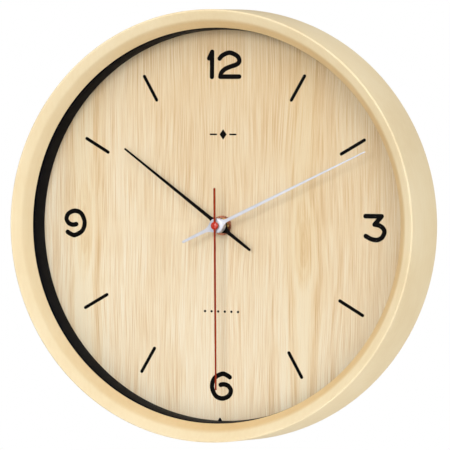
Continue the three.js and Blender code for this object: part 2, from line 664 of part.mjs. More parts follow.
// Knob at the back, in the cover's well, with a shaft and pinion that turn the minute works.
function settingKnob() {
  const { radius, notch, ribs, thickness, shaft } = KNOB;
  const { rear } = MOVEMENT;
  const phase = meshPhase(TO_SETTING, TEETH.minuteWorksWheel, TEETH.settingPinion);
  const pinion = gear(
    { teeth: TEETH.settingPinion, module: MODULE.minuteWorks, phase, level: LEVEL.minuteWorks }, SETTING);
  const edge = Array.from({ length: 2 * ribs }, (_, i) =>
    polar(SETTING, i % 2 ? radius : radius - notch, (i * Math.PI) / ribs));
  const step = LEVEL.minuteWorks[0] - GAP;
  const { pivot } = SETTING_ARBOR;
  const arbor = turned([
    [0, PIVOT.front], [pivot, PIVOT.front], [pivot, step], [shaft, step], [shaft, rear - 1], [0, rear - 1],
  ], 12, SETTING);
  return join(plate(edge, rear - thickness, rear), arbor, pinion);
}

// ---- Hands, drawn pointing at 12 and turned to the time shown ----
// Outline with a tail and a tip, each joined to the round hub by a hollow flare.
function handOutline({ tip, tail, tipHalf, rootHalf, hub }) {
  const flare = (direction) => [
    [hub * 0.62, direction * hub * 0.8],
    [rootHalf + 0.5, direction * (hub + 1.5)],
    [rootHalf, direction * (hub + 4.5)],
  ];
  const tailHalf = rootHalf * 0.9;
  const half = [
    [tailHalf * 0.5, -tail],
    [tailHalf, tailHalf - tail],
    ...flare(-1).reverse(),
    [hub * 0.97, 0],
    ...flare(1),
    [tipHalf, tip - tipHalf],
    [tipHalf * 0.5, tip],
  ];
  return [...half, ...half.map(([x, z]) => [-x, z]).reverse()];
}

// A hand's flat blade with a round hole for its tube.
const handBlade = (hand, hole) => plate(
  handOutline(hand), hand.y - HAND_THICKNESS / 2, hand.y + HAND_THICKNESS / 2, [ring(hole, 16)]);

function hourHand() {
  const { y, hub } = HOUR_HAND;
  const bore = TUBES.hour + 0.1;
  const disc = tube(bore, hub, y - 0.35, y + HAND_THICKNESS / 2);
  const collar = tube(bore, bore + 1, y, y + 1.9);
  return clockwise(join(handBlade(HOUR_HAND, bore + 0.1), disc, collar), TIME_SHOWN.hour);
}

// Its hub is a drum that reaches back almost to the hour hand.
function minuteHand() {
  const { y, hub } = MINUTE_HAND;
  const bore = TUBES.minute + 0.1;
  const drum = tube(bore, hub, y - HAND_THICKNESS / 2, HOUR_HAND.y - 1);
  return clockwise(join(handBlade(MINUTE_HAND, bore + 0.1), drum), TIME_SHOWN.minute);
}

// A thin hand with a domed boss that closes over the end of its arbor.
function secondHand() {
  const { y, tip, tail, tipHalf, rootHalf, hub } = SECOND_HAND;
  const [front, rear] = [y - HAND_THICKNESS / 2, y + HAND_THICKNESS / 2];
  const blade = plate([
    [-rootHalf, -tail], [rootHalf, -tail], [rootHalf, 0], [tipHalf, tip], [-tipHalf, tip], [-rootHalf, 0],
  ], front, rear);
  const dome = [[0, front - 1.2], [hub * 0.55, front - 1], [hub * 0.9, front - 0.6], [hub, front]];
  const boss = turned([...dome, [hub, rear], [0, rear]], 20);
  const socket = rod(ARBOR_RADIUS + 0.1, secondArborFront - GAP, rear + 1, CENTRE, 10);
  return clockwise(cut(join(blade, boss), socket), TIME_SHOWN.second);
}

function secondCollet() {
  const front = SECOND_HAND.y + HAND_THICKNESS / 2 + 0.1;
  return tube(ARBOR_RADIUS + 0.1, SECOND_HAND.hub - 0.2, front, TUBES.minuteFront - 0.4);
}

// ---- Materials ----
const FINISH = {
  caseWood: [0xf0dcb9, 0.5, 0],
  glass: [0xdfe8e6, 0.05, 0],
  blackPlastic: [0x232325, 0.5, 0],
  dialWood: [0xe5ca9f, 0.6, 0],
  fibreboard: [0x8a6a48, 0.85, 0],
  blockWood: [0xc9a877, 0.7, 0],
  steel: [0xb9bcc0, 0.35, 0.9],
  zinc: [0xc9c6b4, 0.4, 0.9],
  brass: [0xb98a4a, 0.35, 0.9],
  copper: [0xb5653a, 0.4, 0.8],
  rubber: [0x1b1b1b, 0.9, 0],
  greyPlastic: [0x3b3d40, 0.6, 0],
  whitePlastic: [0xe9e7df, 0.5, 0],
  naturalPlastic: [0xd8d2c0, 0.5, 0],
  redPlastic: [0xa32a1c, 0.45, 0],
  boardGreen: [0x1f5b3a, 0.6, 0],
  blackPaint: [0x121212, 0.45, 0.2],
  silverPaint: [0xdedde3, 0.35, 0.4],
  redPaint: [0xa4371f, 0.4, 0.2],
  magnet: [0x55575c, 0.4, 0.8],
  batteryFoil: [0x8f9aa6, 0.35, 0.6],
};

// ---- The assembly ----
const clock = new THREE.Group();
clock.position.set(0, -HOOK.y, -HOOK.z);

function add(name, finish, geometry) {
  const [color, roughness, metalness] = FINISH[finish];
  const material = new THREE.MeshStandardMaterial({ color, roughness, metalness });
  const mesh = new THREE.Mesh(geometryOf(solidOf(geometry)), material);
  mesh.name = name;
  clock.add(mesh);
}

add('case_ring', 'caseWood', caseRing());
add('front_glass', 'glass', frontGlass());
add('spacer_ring', 'blackPlastic', spacerRing());
add('dial', 'dialWood', dial());
add('back_plate', 'fibreboard', backPlate());
screwPlaces().forEach((place, i) => {
  const { head, shank, length } = BACK_SCREWS;
  add(`back_screw_${i + 1}`, 'zinc', screw(place, backPlateRear, head, shank, length));
});

add('hanger_block', 'blockWood', hangerBlock());
add('hanger_plate', 'steel', hangerPlate());
hangerScrewPlaces().forEach((place, i) => {
  const { head, shank, length } = HANGER_SCREW;
  add(`hanger_screw_${i + 1}`, 'steel', screw(place, HOOK.y, head, shank, length));
});

add('movement_case', 'greyPlastic', movementCase());
add('movement_cover', 'greyPlastic', movementCover());
add('threaded_bushing', 'brass', threadedBushing());
add('rubber_washer', 'rubber', rubberWasher());
add('nut_washer', 'copper', nutWasher());
add('fixing_nut', 'brass', fixingNut());
add('battery', 'batteryFoil', battery());
add('battery_spring', 'steel', batterySpring());
add('contact_minus', 'steel', contactStrip(-1));
add('contact_plus', 'steel', contactStrip(1));
add('circuit_board', 'boardGreen', circuitBoard());
add('ic_chip', 'blackPlastic', icChip());
add('quartz_crystal', 'steel', quartzCrystal());

add('coil_bobbin', 'naturalPlastic', coilBobbin());
add('coil_winding', 'copper', coilWinding());
add('coil_core', 'steel', coilCore());
add('stator_plate', 'steel', statorPlate());
add('rotor_magnet', 'magnet', rotorMagnet());
add('rotor_pinion', 'whitePlastic', rotorPinion());
add('intermediate_wheel', 'whitePlastic', intermediateWheel());
add('second_wheel', 'whitePlastic', secondWheel());
add('third_wheel', 'redPlastic', thirdWheel());
add('centre_wheel', 'whitePlastic', centreWheel());
add('clutch_spring', 'brass', clutchSpring());
add('cannon_pinion', 'brass', cannonPinion());
add('minute_works_wheel', 'redPlastic', minuteWorksWheel());
add('hour_wheel', 'whitePlastic', hourWheel());
add('setting_knob', 'whitePlastic', settingKnob());

add('hour_hand', 'blackPaint', hourHand());
add('minute_hand', 'silverPaint', minuteHand());
add('second_hand', 'redPaint', secondHand());
add('second_collet', 'brass', secondCollet());

export default clock;
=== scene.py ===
"""Round battery wall clock: the looks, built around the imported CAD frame.

The frame is in metres: X to the dial's 3, Z to its 12, and the dial faces -Y. Shapes are written in
millimetres from the centre of the dial's face, and world_point turns them into the frame's metres.
"""
import json
import math

import bmesh
import bpy
from mathutils import Matrix, Vector


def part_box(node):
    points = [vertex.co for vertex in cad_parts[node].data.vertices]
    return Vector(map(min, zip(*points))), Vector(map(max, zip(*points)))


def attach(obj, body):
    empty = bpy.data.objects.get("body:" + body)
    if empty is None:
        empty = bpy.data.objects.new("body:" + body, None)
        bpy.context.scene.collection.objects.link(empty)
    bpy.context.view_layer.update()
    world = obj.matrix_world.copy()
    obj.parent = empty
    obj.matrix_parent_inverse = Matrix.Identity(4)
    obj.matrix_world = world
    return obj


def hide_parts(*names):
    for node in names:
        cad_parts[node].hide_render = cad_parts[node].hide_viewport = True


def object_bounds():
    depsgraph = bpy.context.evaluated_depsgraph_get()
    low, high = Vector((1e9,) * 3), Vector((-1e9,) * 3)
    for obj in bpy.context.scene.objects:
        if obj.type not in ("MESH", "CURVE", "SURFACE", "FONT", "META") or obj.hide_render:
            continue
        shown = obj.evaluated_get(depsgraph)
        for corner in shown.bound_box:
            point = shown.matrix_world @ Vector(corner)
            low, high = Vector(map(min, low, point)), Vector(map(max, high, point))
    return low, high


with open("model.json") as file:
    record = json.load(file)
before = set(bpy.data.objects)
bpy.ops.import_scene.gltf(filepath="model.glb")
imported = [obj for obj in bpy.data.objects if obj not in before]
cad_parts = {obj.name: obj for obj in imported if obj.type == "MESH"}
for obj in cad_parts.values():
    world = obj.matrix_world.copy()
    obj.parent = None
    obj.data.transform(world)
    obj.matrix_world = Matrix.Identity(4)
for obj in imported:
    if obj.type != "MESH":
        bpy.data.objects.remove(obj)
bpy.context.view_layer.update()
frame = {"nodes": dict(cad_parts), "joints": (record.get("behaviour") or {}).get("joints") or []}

MM = 0.001

# ---- Places taken from the frame ----
AXIS = {joint["name"]: Vector(joint["pos_m"]) for joint in frame["joints"]}
GAP = 0.3  # millimetres that the CAD leaves between pieces
DIAL_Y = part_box("spacer_ring")[1].y + GAP * MM  # the dial's face
CENTRE = Vector((AXIS["second_hand_turn"].x, DIAL_Y, AXIS["second_hand_turn"].z))


def span(node):
    """A node's lowest and highest corners, in millimetres from the centre of the dial's face."""
    return tuple((corner - CENTRE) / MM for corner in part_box(node))


def axis_place(joint):
    """Where a joint's axis crosses the dial's plane, as (x, z) in millimetres from its centre."""
    away = (AXIS[joint] - CENTRE) / MM
    return away.x, away.z


def middle_of(node):
    """The middle of a node's box in the dial's plane, as (x, z) in millimetres from its centre."""
    low, high = span(node)
    return (low.x + high.x) / 2, (low.z + high.z) / 2


# ---- Sizes that several shapes or materials share ----
# Corners of the case's profile as (radius, y) and how far each is rounded. They are the CAD's, but the
# crest is rounded less, so that its highlight stays as thin as the photo's.
LIP = {"radius": 135.5, "thickness": 0.5, "rounding": 0.15}
SHOULDER, SHOULDER_ROUNDING = (140.6, -25.8), 8
CREST, CREST_ROUNDING = (147.5, -31), 0.9
BACK_ROUNDING = 2.4
REBATE = {"radius": 144.5, "rounding": 0.4}  # the recess that holds the back plate

BUSHING_FLANGE = 1.2  # how far the threaded bushing's flange stands out from its thread
SCREW_HOLE = 1.5
BACK_SCREWS = [f"back_screw_{i}" for i in range(1, 7)]
HANGER_SCREWS = [f"hanger_screw_{i}" for i in (1, 2)]


def bushing_hole():
    """Radius of the holes that the bushing's thread goes through."""
    return span("threaded_bushing")[1].x - BUSHING_FLANGE + GAP


# ---- Camera ----
VIEW = {"azimuth": 21.60, "elevation": 1.21, "roll": 0.53, "distance": 2.045, "lens": 237.0}
AIM = (1.87 * MM, 0.30 * MM)  # where it looks, to the right of and above the dial's centre
SENSOR_WIDTH = 36  # millimetres, like the lens
VIEW_END = 20  # metres; nothing further away is drawn


def from_centre(azimuth, elevation, distance):
    """A point in metres at those angles from the dial's centre; azimuth 0 is straight in front."""
    azimuth, elevation = math.radians(azimuth), math.radians(elevation)
    flat = math.cos(elevation)
    return CENTRE + distance * Vector((
        math.sin(azimuth) * flat, -math.cos(azimuth) * flat, math.sin(elevation)))


def add_camera():
    camera = bpy.data.objects.new("camera", bpy.data.cameras.new("camera"))
    bpy.context.scene.collection.objects.link(camera)
    camera.data.lens = VIEW["lens"]
    camera.data.sensor_width = SENSOR_WIDTH
    camera.data.clip_end = VIEW_END
    camera.location = from_centre(VIEW["azimuth"], VIEW["elevation"], VIEW["distance"])
    back = (camera.location - CENTRE).normalized()
    right = Vector((-back.y, back.x, 0)).normalized()
    up = back.cross(right)
    gaze = CENTRE + right * AIM[0] + up * AIM[1] - camera.location
    aimed = gaze.to_track_quat("-Z", "Y").to_matrix().to_4x4()
    roll = Matrix.Rotation(math.radians(VIEW["roll"]), 4, "Z")
    camera.matrix_world = Matrix.Translation(camera.location) @ aimed @ roll
    bpy.context.scene.camera = camera


# ---- Lights, world and floor ----
AMBIENT = 0.15  # strength of the white surroundings as a light
# Round softboxes: azimuth, elevation, distance and size in metres, and power in watts.
LIGHTS = {
    "key": (-3, 15, 2.2, 0.75, 11),
    "front": (2, 6, 2.4, 1.8, 21),
    "below": (0, -25, 2.4, 1.5, 8),
    "above": (20, 45, 2.4, 1.5, 14),
    "left": (-55, 5, 2.4, 1.5, 5),
    "right": (52, 6, 2.4, 1.2, 8),
    "right_above": (118, 48, 2.4, 1.5, 28),
    "right_below": (108, -58, 2.4, 1.5, 38),
}
FLOOR_DROP = 2.6  # metres below the clock, so that no light is under the floor
FLOOR_RADIUS = 1.5


def add_softbox(name, azimuth, elevation, distance, size, power):
    data = bpy.data.lights.new(name, "AREA")
    data.shape = "DISK"
    data.size = size
    data.energy = power
    lamp = bpy.data.objects.new(name, data)
    bpy.context.scene.collection.objects.link(lamp)
    lamp.location = from_centre(azimuth, elevation, distance)
    lamp.rotation_euler = (CENTRE - lamp.location).to_track_quat("-Z", "Y").to_euler()


def add_world():
    """Even white surroundings: plain white to the camera, dimmer as a light."""
    world = bpy.data.worlds.new("studio")
    bpy.context.scene.world = world
    world.use_nodes = True
    tree = world.node_tree
    tree.nodes.clear()
    out = tree.nodes.new("ShaderNodeOutputWorld")
    mix = tree.nodes.new("ShaderNodeMixShader")
    rays = tree.nodes.new("ShaderNodeLightPath")
    light, seen = (tree.nodes.new("ShaderNodeBackground") for _ in range(2))
    light.inputs["Strength"].default_value = AMBIENT
    seen.inputs["Strength"].default_value = 1.0
    for background in (light, seen):
        background.inputs["Color"].default_value = (1, 1, 1, 1)
    tree.links.new(rays.outputs["Is Camera Ray"], mix.inputs[0])
    tree.links.new(light.outputs[0], mix.inputs[1])
    tree.links.new(seen.outputs[0], mix.inputs[2])
    tree.links.new(mix.outputs[0], out.inputs[0])


def add_floor():
    """A pale round floor below the clock, which hangs above it."""
    shape = bmesh.new()
    bmesh.ops.create_circle(shape, cap_ends=True, segments=96, radius=FLOOR_RADIUS)
    mesh = bpy.data.meshes.new("floor")
    shape.to_mesh(mesh)
    shape.free()
    mesh.materials.append(MATERIALS["floor"])
    floor = bpy.data.objects.new("floor", mesh)
    bpy.context.scene.collection.objects.link(floor)
    floor.location = (CENTRE.x, CENTRE.y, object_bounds()[0][2] - FLOOR_DROP)


# ---- Materials ----
def linear(color):
    """An sRGB colour, 0 to 255, as the linear colour with alpha that nodes take."""
    def channel(value):
        value /= 255
        return value / 12.92 if value <= 0.04045 else ((value + 0.055) / 1.055) ** 2.4
    return (*(channel(c) for c in color), 1.0)


MATERIALS = {}


class Graph:
    """A material's node tree, with short ways to add and join nodes."""

    def __init__(self, name):
        self.name = name
        self.material = bpy.data.materials.new(name)
        self.material.use_nodes = True
        self.tree = self.material.node_tree
        self.shader = self.tree.nodes["Principled BSDF"]

    def node(self, kind, values=(), **settings):
        made = self.tree.nodes.new("ShaderNode" + kind)
        for key, value in settings.items():
            setattr(made, key, value)
        for key, value in dict(values).items():
            self.feed(made.inputs[key], value)
        return made

    def feed(self, socket, value):
        if isinstance(value, bpy.types.NodeSocket):
            self.tree.links.new(value, socket)
        else:
            socket.default_value = value

    def math(self, operation, a, b=0.0, c=0.0):
        return self.node("Math", {0: a, 1: b, 2: c}, operation=operation).outputs[0]

    def weighted(self, *terms):
        """The sum of values, each given with its weight."""
        total = 0.0
        for value, weight in terms:
            total = self.math("MULTIPLY_ADD", value, weight, total)
        return total

    def place(self, scale=(1, 1, 1)):
        """Places in millimetres from the centre of the dial's face, stretched by scale."""
        source = self.node("TexCoord").outputs["Object"]
        moved = self.node("VectorMath", {0: source, 1: CENTRE}, operation="SUBTRACT").outputs[0]
        factors = tuple(value / MM for value in scale)
        return self.node("VectorMath", {0: moved, 1: factors}, operation="MULTIPLY").outputs[0]

    def split(self, vector):
        return self.node("SeparateXYZ", {0: vector}).outputs

    def vector(self, x, y):
        return self.node("CombineXYZ", {0: x, 1: y}).outputs[0]

    def noise(self, vector, scale, detail=4.0, roughness=0.55, distortion=0.0):
        values = {"Vector": vector, "Scale": scale, "Detail": detail, "Roughness": roughness}
        return self.node("TexNoise", {**values, "Distortion": distortion}).outputs["Fac"]

    def ramp(self, factor, stops, interpolation="LINEAR"):
        node = self.node("ValToRGB", {"Fac": factor})
        ramp = node.color_ramp
        ramp.interpolation = interpolation
        while len(ramp.elements) < len(stops):
            ramp.elements.new(0.5)
        for element, (position, color) in zip(ramp.elements, stops):
            element.position = position
            element.color = linear(color)
        return node.outputs["Color"]

    def spread(self, value, low, high, new_low, new_high):
        """A value from one range, held inside it and moved to a new range."""
        old = {"Value": value, "From Min": low, "From Max": high}
        return self.node("MapRange", {**old, "To Min": new_low, "To Max": new_high}).outputs[0]

    def tint(self, color, shade):
        """A colour multiplied by a grey value or another colour."""
        node = self.node("Mix", data_type="RGBA", blend_type="MULTIPLY")
        node.inputs[0].default_value = 1.0
        self.feed(node.inputs[6], color)
        self.feed(node.inputs[7], shade)
        return node.outputs[2]

    def finish(self, color, roughness, relief=None, specular=0.5, **sockets):
        """Joins all to the shader; relief is a height, its strength and its depth in millimetres."""
        values = {"Base Color": color, "Roughness": roughness, "Specular IOR Level": specular}
        if relief:
            height, strength, depth = relief
            bump = self.node("Bump", {"Height": height, "Strength": strength, "Distance": depth * MM})
            values["Normal"] = bump.outputs[0]
        for key, value in {**values, **sockets}.items():
            self.feed(self.shader.inputs[key.replace("_", " ")], value)
        MATERIALS[self.name] = self.material


def plain(name, tones, roughness, size, metallic=0.0, stretch=(1, 1, 1), bump=0.01, specular=0.5):
    """A nearly even finish: soft clouds of that size in two tones, with a little relief."""
    graph = Graph(name)
    clouds = graph.noise(graph.place(stretch), scale=1 / size, detail=5)
    relief = graph.noise(graph.place(stretch), scale=4 / size, detail=2)
    graph.finish(
        graph.ramp(clouds, [(0.3, tones[0]), (0.7, tones[1])]),
        graph.spread(clouds, 0.3, 0.7, *roughness), (relief, 0.4, bump), specular, Metallic=metallic)


WHITE = (255, 255, 255)

# Figures in the veneer: the x and z of their hearts and how slender their rings are.
FIGURES = ((-97.0, -4.0, 0.2), (67.0, -12.0, 0.22))
# How far above and below its heart a figure reaches, and how softly its rings end and meet the other's.
FIGURE = {"reach": 34.0, "ending": 12.0, "meeting": 8.0}
SWAY = 12.0  # how far the streaks wander sideways


def figure_rings(graph, across, up):
    """Distance to the nearer heart: rings close round it and run straight beyond its reach."""
    rings = None
    for x, z, slender in FIGURES:
        side = graph.math("SUBTRACT", across, x)
        away = graph.math("ABSOLUTE", graph.math("SUBTRACT", up, z))
        held = graph.math("SMOOTH_MIN", away, FIGURE["reach"], FIGURE["ending"])
        along = graph.math("MULTIPLY", held, slender)
        distance = graph.math("SQRT", graph.weighted((side, side), (along, along)))
        rings = distance if rings is None else graph.math(
            "SMOOTH_MIN", rings, distance, FIGURE["meeting"])
    return rings


def streaks(graph, line, up, width, length, detail):
    """Upright streaks across a line of places, about that wide and long."""
    spot = graph.vector(graph.math("DIVIDE", line, width), graph.math("DIVIDE", up, length))
    return graph.noise(spot, scale=1.0, detail=detail, roughness=0.6)


def warmth_and_painted_shade(graph, rings, across, up):
    """Painted shade of the case's rim, slowly deeper towards the top right, and a warmer tone at the
    figures.
    """
    height = graph.spread(graph.weighted((up, 1.0), (across, 0.6)), -90, 120, 0, 1)
    # Painted shade: the veneer darkens towards the top right, where the case's rim shades the dial.
    painted_rim_shade = graph.ramp(height, [(0.0, WHITE), (1.0, (235, 226, 212))])
    nearness = graph.spread(rings, 4, 20, 1, 0)
    warmth = graph.ramp(nearness, [(0.0, WHITE), (1.0, (252, 248, 238))])
    return graph.tint(warmth, painted_rim_shade)


def dial_wood():
    """Pale softwood veneer: fine upright streaks, two faint long figures beside the 9 and the 3, and
    painted shade towards the top right.
    """
    graph = Graph("dial_wood")
    across, _, up = graph.split(graph.place())
    sway = graph.noise(graph.place((1, 1, 0.3)), scale=0.025, detail=1)
    swayed = graph.weighted((sway, SWAY), (across, 1.0))
    rings = figure_rings(graph, swayed, up)
    hair = streaks(graph, swayed, up, width=0.5, length=45, detail=2)
    fine = streaks(graph, rings, up, width=1.4, length=90, detail=2)
    broad = streaks(graph, rings, up, width=5, length=300, detail=1)
    contrast = graph.spread(rings, 5, 32, 0.5, 0.12)
    bands = graph.math("MULTIPLY", graph.math("SUBTRACT", broad, 0.5), contrast)
    patches = graph.noise(graph.place((1, 1, 0.3)), scale=0.035, detail=2)
    tone = graph.weighted((hair, 0.62), (fine, 0.16), (patches, 0.22), (bands, 1.0))
    color = graph.ramp(tone, [
        (0.35, (222, 190, 147)), (0.435, (236, 210, 171)),
        (0.51, (245, 226, 192)), (0.6, (250, 237, 211))])
    pricks = streaks(graph, swayed, up, width=0.45, length=12, detail=1)
    pores = graph.spread(pricks, 0.3, 0.37, 0.94, 1.0)
    # Tinted by the painted rim shade and the figures' warmth.
    color = graph.tint(graph.tint(color, pores), warmth_and_painted_shade(graph, rings, across, up))
    graph.finish(color, graph.spread(hair, 0.3, 0.7, 0.5, 0.62), (hair, 0.25, 0.05), specular=0.2)


def case_lacquer():
    """Cream lacquer over wood: a trace of grain, a soft sheen, and painted shade on the slope inside the
    shoulder.
    """
    graph = Graph("case_lacquer")
    x, _, z = graph.split(graph.place())
    radius = graph.math("SQRT", graph.weighted((x, x), (z, z)))
    # Painted shade on the slope inside the shoulder: faint beside the 9, full from the 12 and 6 round to
    # the 3, where less light falls on it.
    inside = graph.spread(radius, SHOULDER[0] - 1.5, SHOULDER[0] + 1, 1, 0)
    share = graph.spread(x, -140, 10, 0.1, 1)
    painted_slope_shade = graph.ramp(
        graph.math("MULTIPLY", inside, share), [(0.0, WHITE), (1.0, (249, 234, 211))])
    grain = graph.noise(graph.place((1, 1, 0.06)), scale=0.45, detail=4)
    clouds = graph.noise(graph.place(), scale=0.02, detail=3)
    color = graph.ramp(graph.weighted((grain, 0.3), (clouds, 0.7)), [
        (0.35, (241, 219, 176)), (0.5, (245, 225, 184)), (0.65, (248, 230, 192))])
    waves = graph.noise(graph.place(), scale=0.25, detail=2)
    graph.finish(
        graph.tint(color, painted_slope_shade), graph.spread(grain, 0.3, 0.7, 0.42, 0.5), (waves, 0.12, 0.1),
        specular=0.25, Coat_Weight=0.05, Coat_Roughness=0.3)


def hardboard():
    """Brown pressed fibreboard: flecked, with a faint felt of fibres."""
    graph = Graph("hardboard")
    felt = graph.noise(graph.place(), scale=0.9, detail=8, roughness=0.7, distortion=0.6)
    flecks = graph.noise(graph.place((1, 1, 0.3)), scale=2.6, detail=2)
    color = graph.ramp(felt, [(0.3, (112, 80, 51)), (0.5, (143, 108, 72)), (0.72, (170, 134, 93))])
    color = graph.tint(color, graph.spread(flecks, 0.62, 0.7, 1.0, 0.72))
    graph.finish(color, graph.spread(felt, 0.3, 0.7, 0.7, 0.88), (felt, 0.5, 0.15), specular=0.2)


def sawn_wood():
    """Raw softwood: straight rings along X and a rough sawn face."""
    graph = Graph("sawn_wood")
    rings = graph.noise(
        graph.place((0.03, 0.5, 0.55)), scale=1.0, detail=3, roughness=0.6, distortion=0.3)
    fibres = graph.noise(graph.place((0.15, 3, 3)), scale=1.0, detail=3)
    color = graph.ramp(graph.weighted((rings, 0.7), (fibres, 0.3)), [
        (0.35, (166, 122, 76)), (0.5, (205, 166, 116)), (0.66, (226, 194, 147))])
    graph.finish(color, graph.spread(fibres, 0.3, 0.7, 0.68, 0.82), (fibres, 0.5, 0.12), specular=0.2)


def battery_wrap():
    """A plain cell: bare at the ends, with a dark wrap and a copper-coloured band by the positive end."""
    low, high = span("battery")
    graph = Graph("battery_wrap")
    along = graph.spread(graph.split(graph.place())[0], low.x, high.x, 0, 1)
    scuffs = graph.noise(graph.place(), scale=0.6, detail=6)
    bands = graph.ramp(along, [
        (0.0, (168, 170, 174)), (0.015, (34, 36, 40)), (0.70, (196, 132, 74)), (0.965, (190, 192, 196)),
    ], "CONSTANT")
    color = graph.tint(bands, graph.spread(scuffs, 0.4, 0.65, 0.85, 1.0))
    graph.finish(color, graph.spread(scuffs, 0.35, 0.7, 0.26, 0.4), (scuffs, 0.2, 0.05), Metallic=0.55)


def clear_glass():
    """A thin clear pane: almost nothing but a faint sheen that grows towards its edges."""
    graph = Graph("clear_glass")
    film = graph.noise(graph.place(), scale=0.02, detail=3)
    glance = graph.node("LayerWeight", {"Blend": 0.15}).outputs["Fresnel"]
    graph.finish(
        (0, 0, 0, 1), graph.spread(film, 0.3, 0.7, 0.03, 0.08),
        Alpha=graph.spread(glance, 0, 1, 0.006, 0.25))


def make_materials():
    for special in (case_lacquer, dial_wood, clear_glass, battery_wrap, hardboard, sawn_wood):
        special()
    plain("dial_ink", ((7, 6, 5), (12, 10, 9)), (0.5, 0.62), 4, bump=0.02, specular=0.04)
    plain("black_ring", ((10, 12, 19), (16, 18, 25)), (0.4, 0.52), 6, bump=0.03, specular=0.02)
    plain("hand_black", ((7, 4, 3), (12, 8, 7)), (0.34, 0.46), 5, specular=0.05)
    plain("hand_silver", ((200, 202, 213), (216, 216, 224)), (0.3, 0.4), 5, metallic=0.2)
    plain("hand_red", ((138, 40, 12), (156, 50, 16)), (0.45, 0.55), 4, specular=0.1)
    plain("boss_red", ((190, 40, 20), (208, 56, 30)), (0.16, 0.22), 2, specular=0.6)
    plain("copper", ((188, 116, 84), (216, 150, 118)), (0.22, 0.36), 2, 0.9, (4, 1, 1))
    plain("brass", ((172, 134, 76), (198, 162, 100)), (0.34, 0.48), 2, 0.95, (1, 4, 1))
    plain("steel", ((150, 152, 156), (190, 192, 196)), (0.26, 0.42), 3, 0.95, (0.2, 1, 3))
    plain("zinc", ((182, 174, 140), (214, 208, 184)), (0.25, 0.4), 1.5, 0.9)
    plain("magnet", ((70, 72, 76), (92, 94, 98)), (0.3, 0.45), 1.5, 0.8)
    plain("winding", ((150, 70, 34), (186, 98, 52)), (0.25, 0.4), 0.5, 0.8, (1, 1, 8), bump=0.05)
    plain("rubber", ((22, 22, 22), (32, 32, 31)), (0.8, 0.92), 2, bump=0.04)
    plain("grey_plastic", ((42, 44, 47), (52, 54, 57)), (0.48, 0.6), 2.5, bump=0.07)
    plain("white_plastic", ((228, 226, 217), (238, 236, 229)), (0.3, 0.42), 3, bump=0.02)
    plain("natural_plastic", ((206, 198, 178), (220, 213, 196)), (0.4, 0.5), 3, bump=0.02)
    plain("red_plastic", ((146, 32, 24), (168, 44, 32)), (0.3, 0.42), 3, bump=0.02)
    plain("board", ((22, 78, 46), (34, 98, 60)), (0.4, 0.5), 2, bump=0.02)
    plain("floor", ((238, 238, 236), (242, 242, 240)), (0.6, 0.7), 300, bump=0.1)


# ---- Meshes ----
def add_piece(mesh, material, body="clock", replaces=(), sharp=35):
    """A finished piece that rides on a body in place of some CAD nodes.

    It is shaded smooth, except at edges that turn by more than sharp degrees.
    """
    piece = bpy.data.objects.new(mesh.name, mesh)
    bpy.context.scene.collection.objects.link(piece)
    mesh.shade_smooth()
    mesh.set_sharp_from_angle(angle=math.radians(sharp))
    mesh.materials.clear()
    mesh.materials.append(MATERIALS[material])
    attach(piece, body)
    for node in replaces:
        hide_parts(node)


def world_point(x, y, z):
    """A place in the dial's millimetres as a point of the frame."""
    return CENTRE + Vector((x, y, z)) * MM


def polar(radius, degrees, middle=(0, 0)):
    """A place in the dial's plane; angles run from the 3 to the 12."""
    angle = math.radians(degrees)
    return middle[0] + radius * math.cos(angle), middle[1] + radius * math.sin(angle)


def arc(middle, radius, start, end, steps):
    return [polar(radius, start + (end - start) * i / steps, middle) for i in range(steps + 1)]


def circle(radius, sides=48, middle=(0, 0)):
    return [polar(radius, 360 * i / sides, middle) for i in range(sides)]


def rounded(before, corner, after, radius, steps):
    """Points of the arc that rounds a corner between its two neighbours."""
    before, corner, after = Vector(before), Vector(corner), Vector(after)
    to_before, to_after = (before - corner).normalized(), (after - corner).normalized()
    half = to_before.angle(to_after) / 2
    middle = corner + (to_before + to_after).normalized() * radius / math.sin(half)
    first = corner + to_before * radius / math.tan(half) - middle
    last = corner + to_after * radius / math.tan(half) - middle
    start = math.degrees(math.atan2(first.y, first.x))
    sweep = (math.degrees(math.atan2(last.y, last.x)) - start + 180) % 360 - 180
    return arc(middle, radius, start, start + sweep, steps)


def softened(outline, radius):
    """A closed outline with all its corners rounded."""
    corners = zip([outline[-1], *outline], outline, [*outline[1:], outline[0]])
    return [point for corner in corners for point in rounded(*corner, radius, 4)]


def clean(shape, name):
    """A bmesh as a mesh with merged corners and outward faces."""
    bmesh.ops.remove_doubles(shape, verts=shape.verts, dist=1e-7)
    bmesh.ops.recalc_face_normals(shape, faces=shape.faces)
    mesh = bpy.data.meshes.new(name)
    shape.to_mesh(mesh)
    shape.free()
    return mesh


def turned(name, profile, segments, middle=(0, 0)):
    """A profile of (radius, y) points turned about Y; it closes on itself or ends on the axis."""
    shape = bmesh.new()
    rings = []
    for radius, y in profile:
        sides = segments if radius > 1e-6 else 1
        places = (polar(radius, 360 * i / segments, middle) for i in range(sides))
        rings.append([shape.verts.new(world_point(x, y, z)) for x, z in places])
    for first, second in zip(rings, rings[1:]):
        for i in range(segments):
            j = i + 1
            corners = [
                first[i % len(first)], first[j % len(first)],
                second[j % len(second)], second[i % len(second)]]
            unique = list(dict.fromkeys(corners))
            if len(unique) > 2:
                shape.faces.new(unique)
    return clean(shape, name)


def evaluated(holder):
    """The mesh that an object's curve or modifiers make; the object is thrown away."""
    bpy.context.scene.collection.objects.link(holder)
    bpy.context.view_layer.update()
    graph = bpy.context.evaluated_depsgraph_get()
    mesh = bpy.data.meshes.new_from_object(holder.evaluated_get(graph))
    bpy.data.objects.remove(holder)
    return mesh


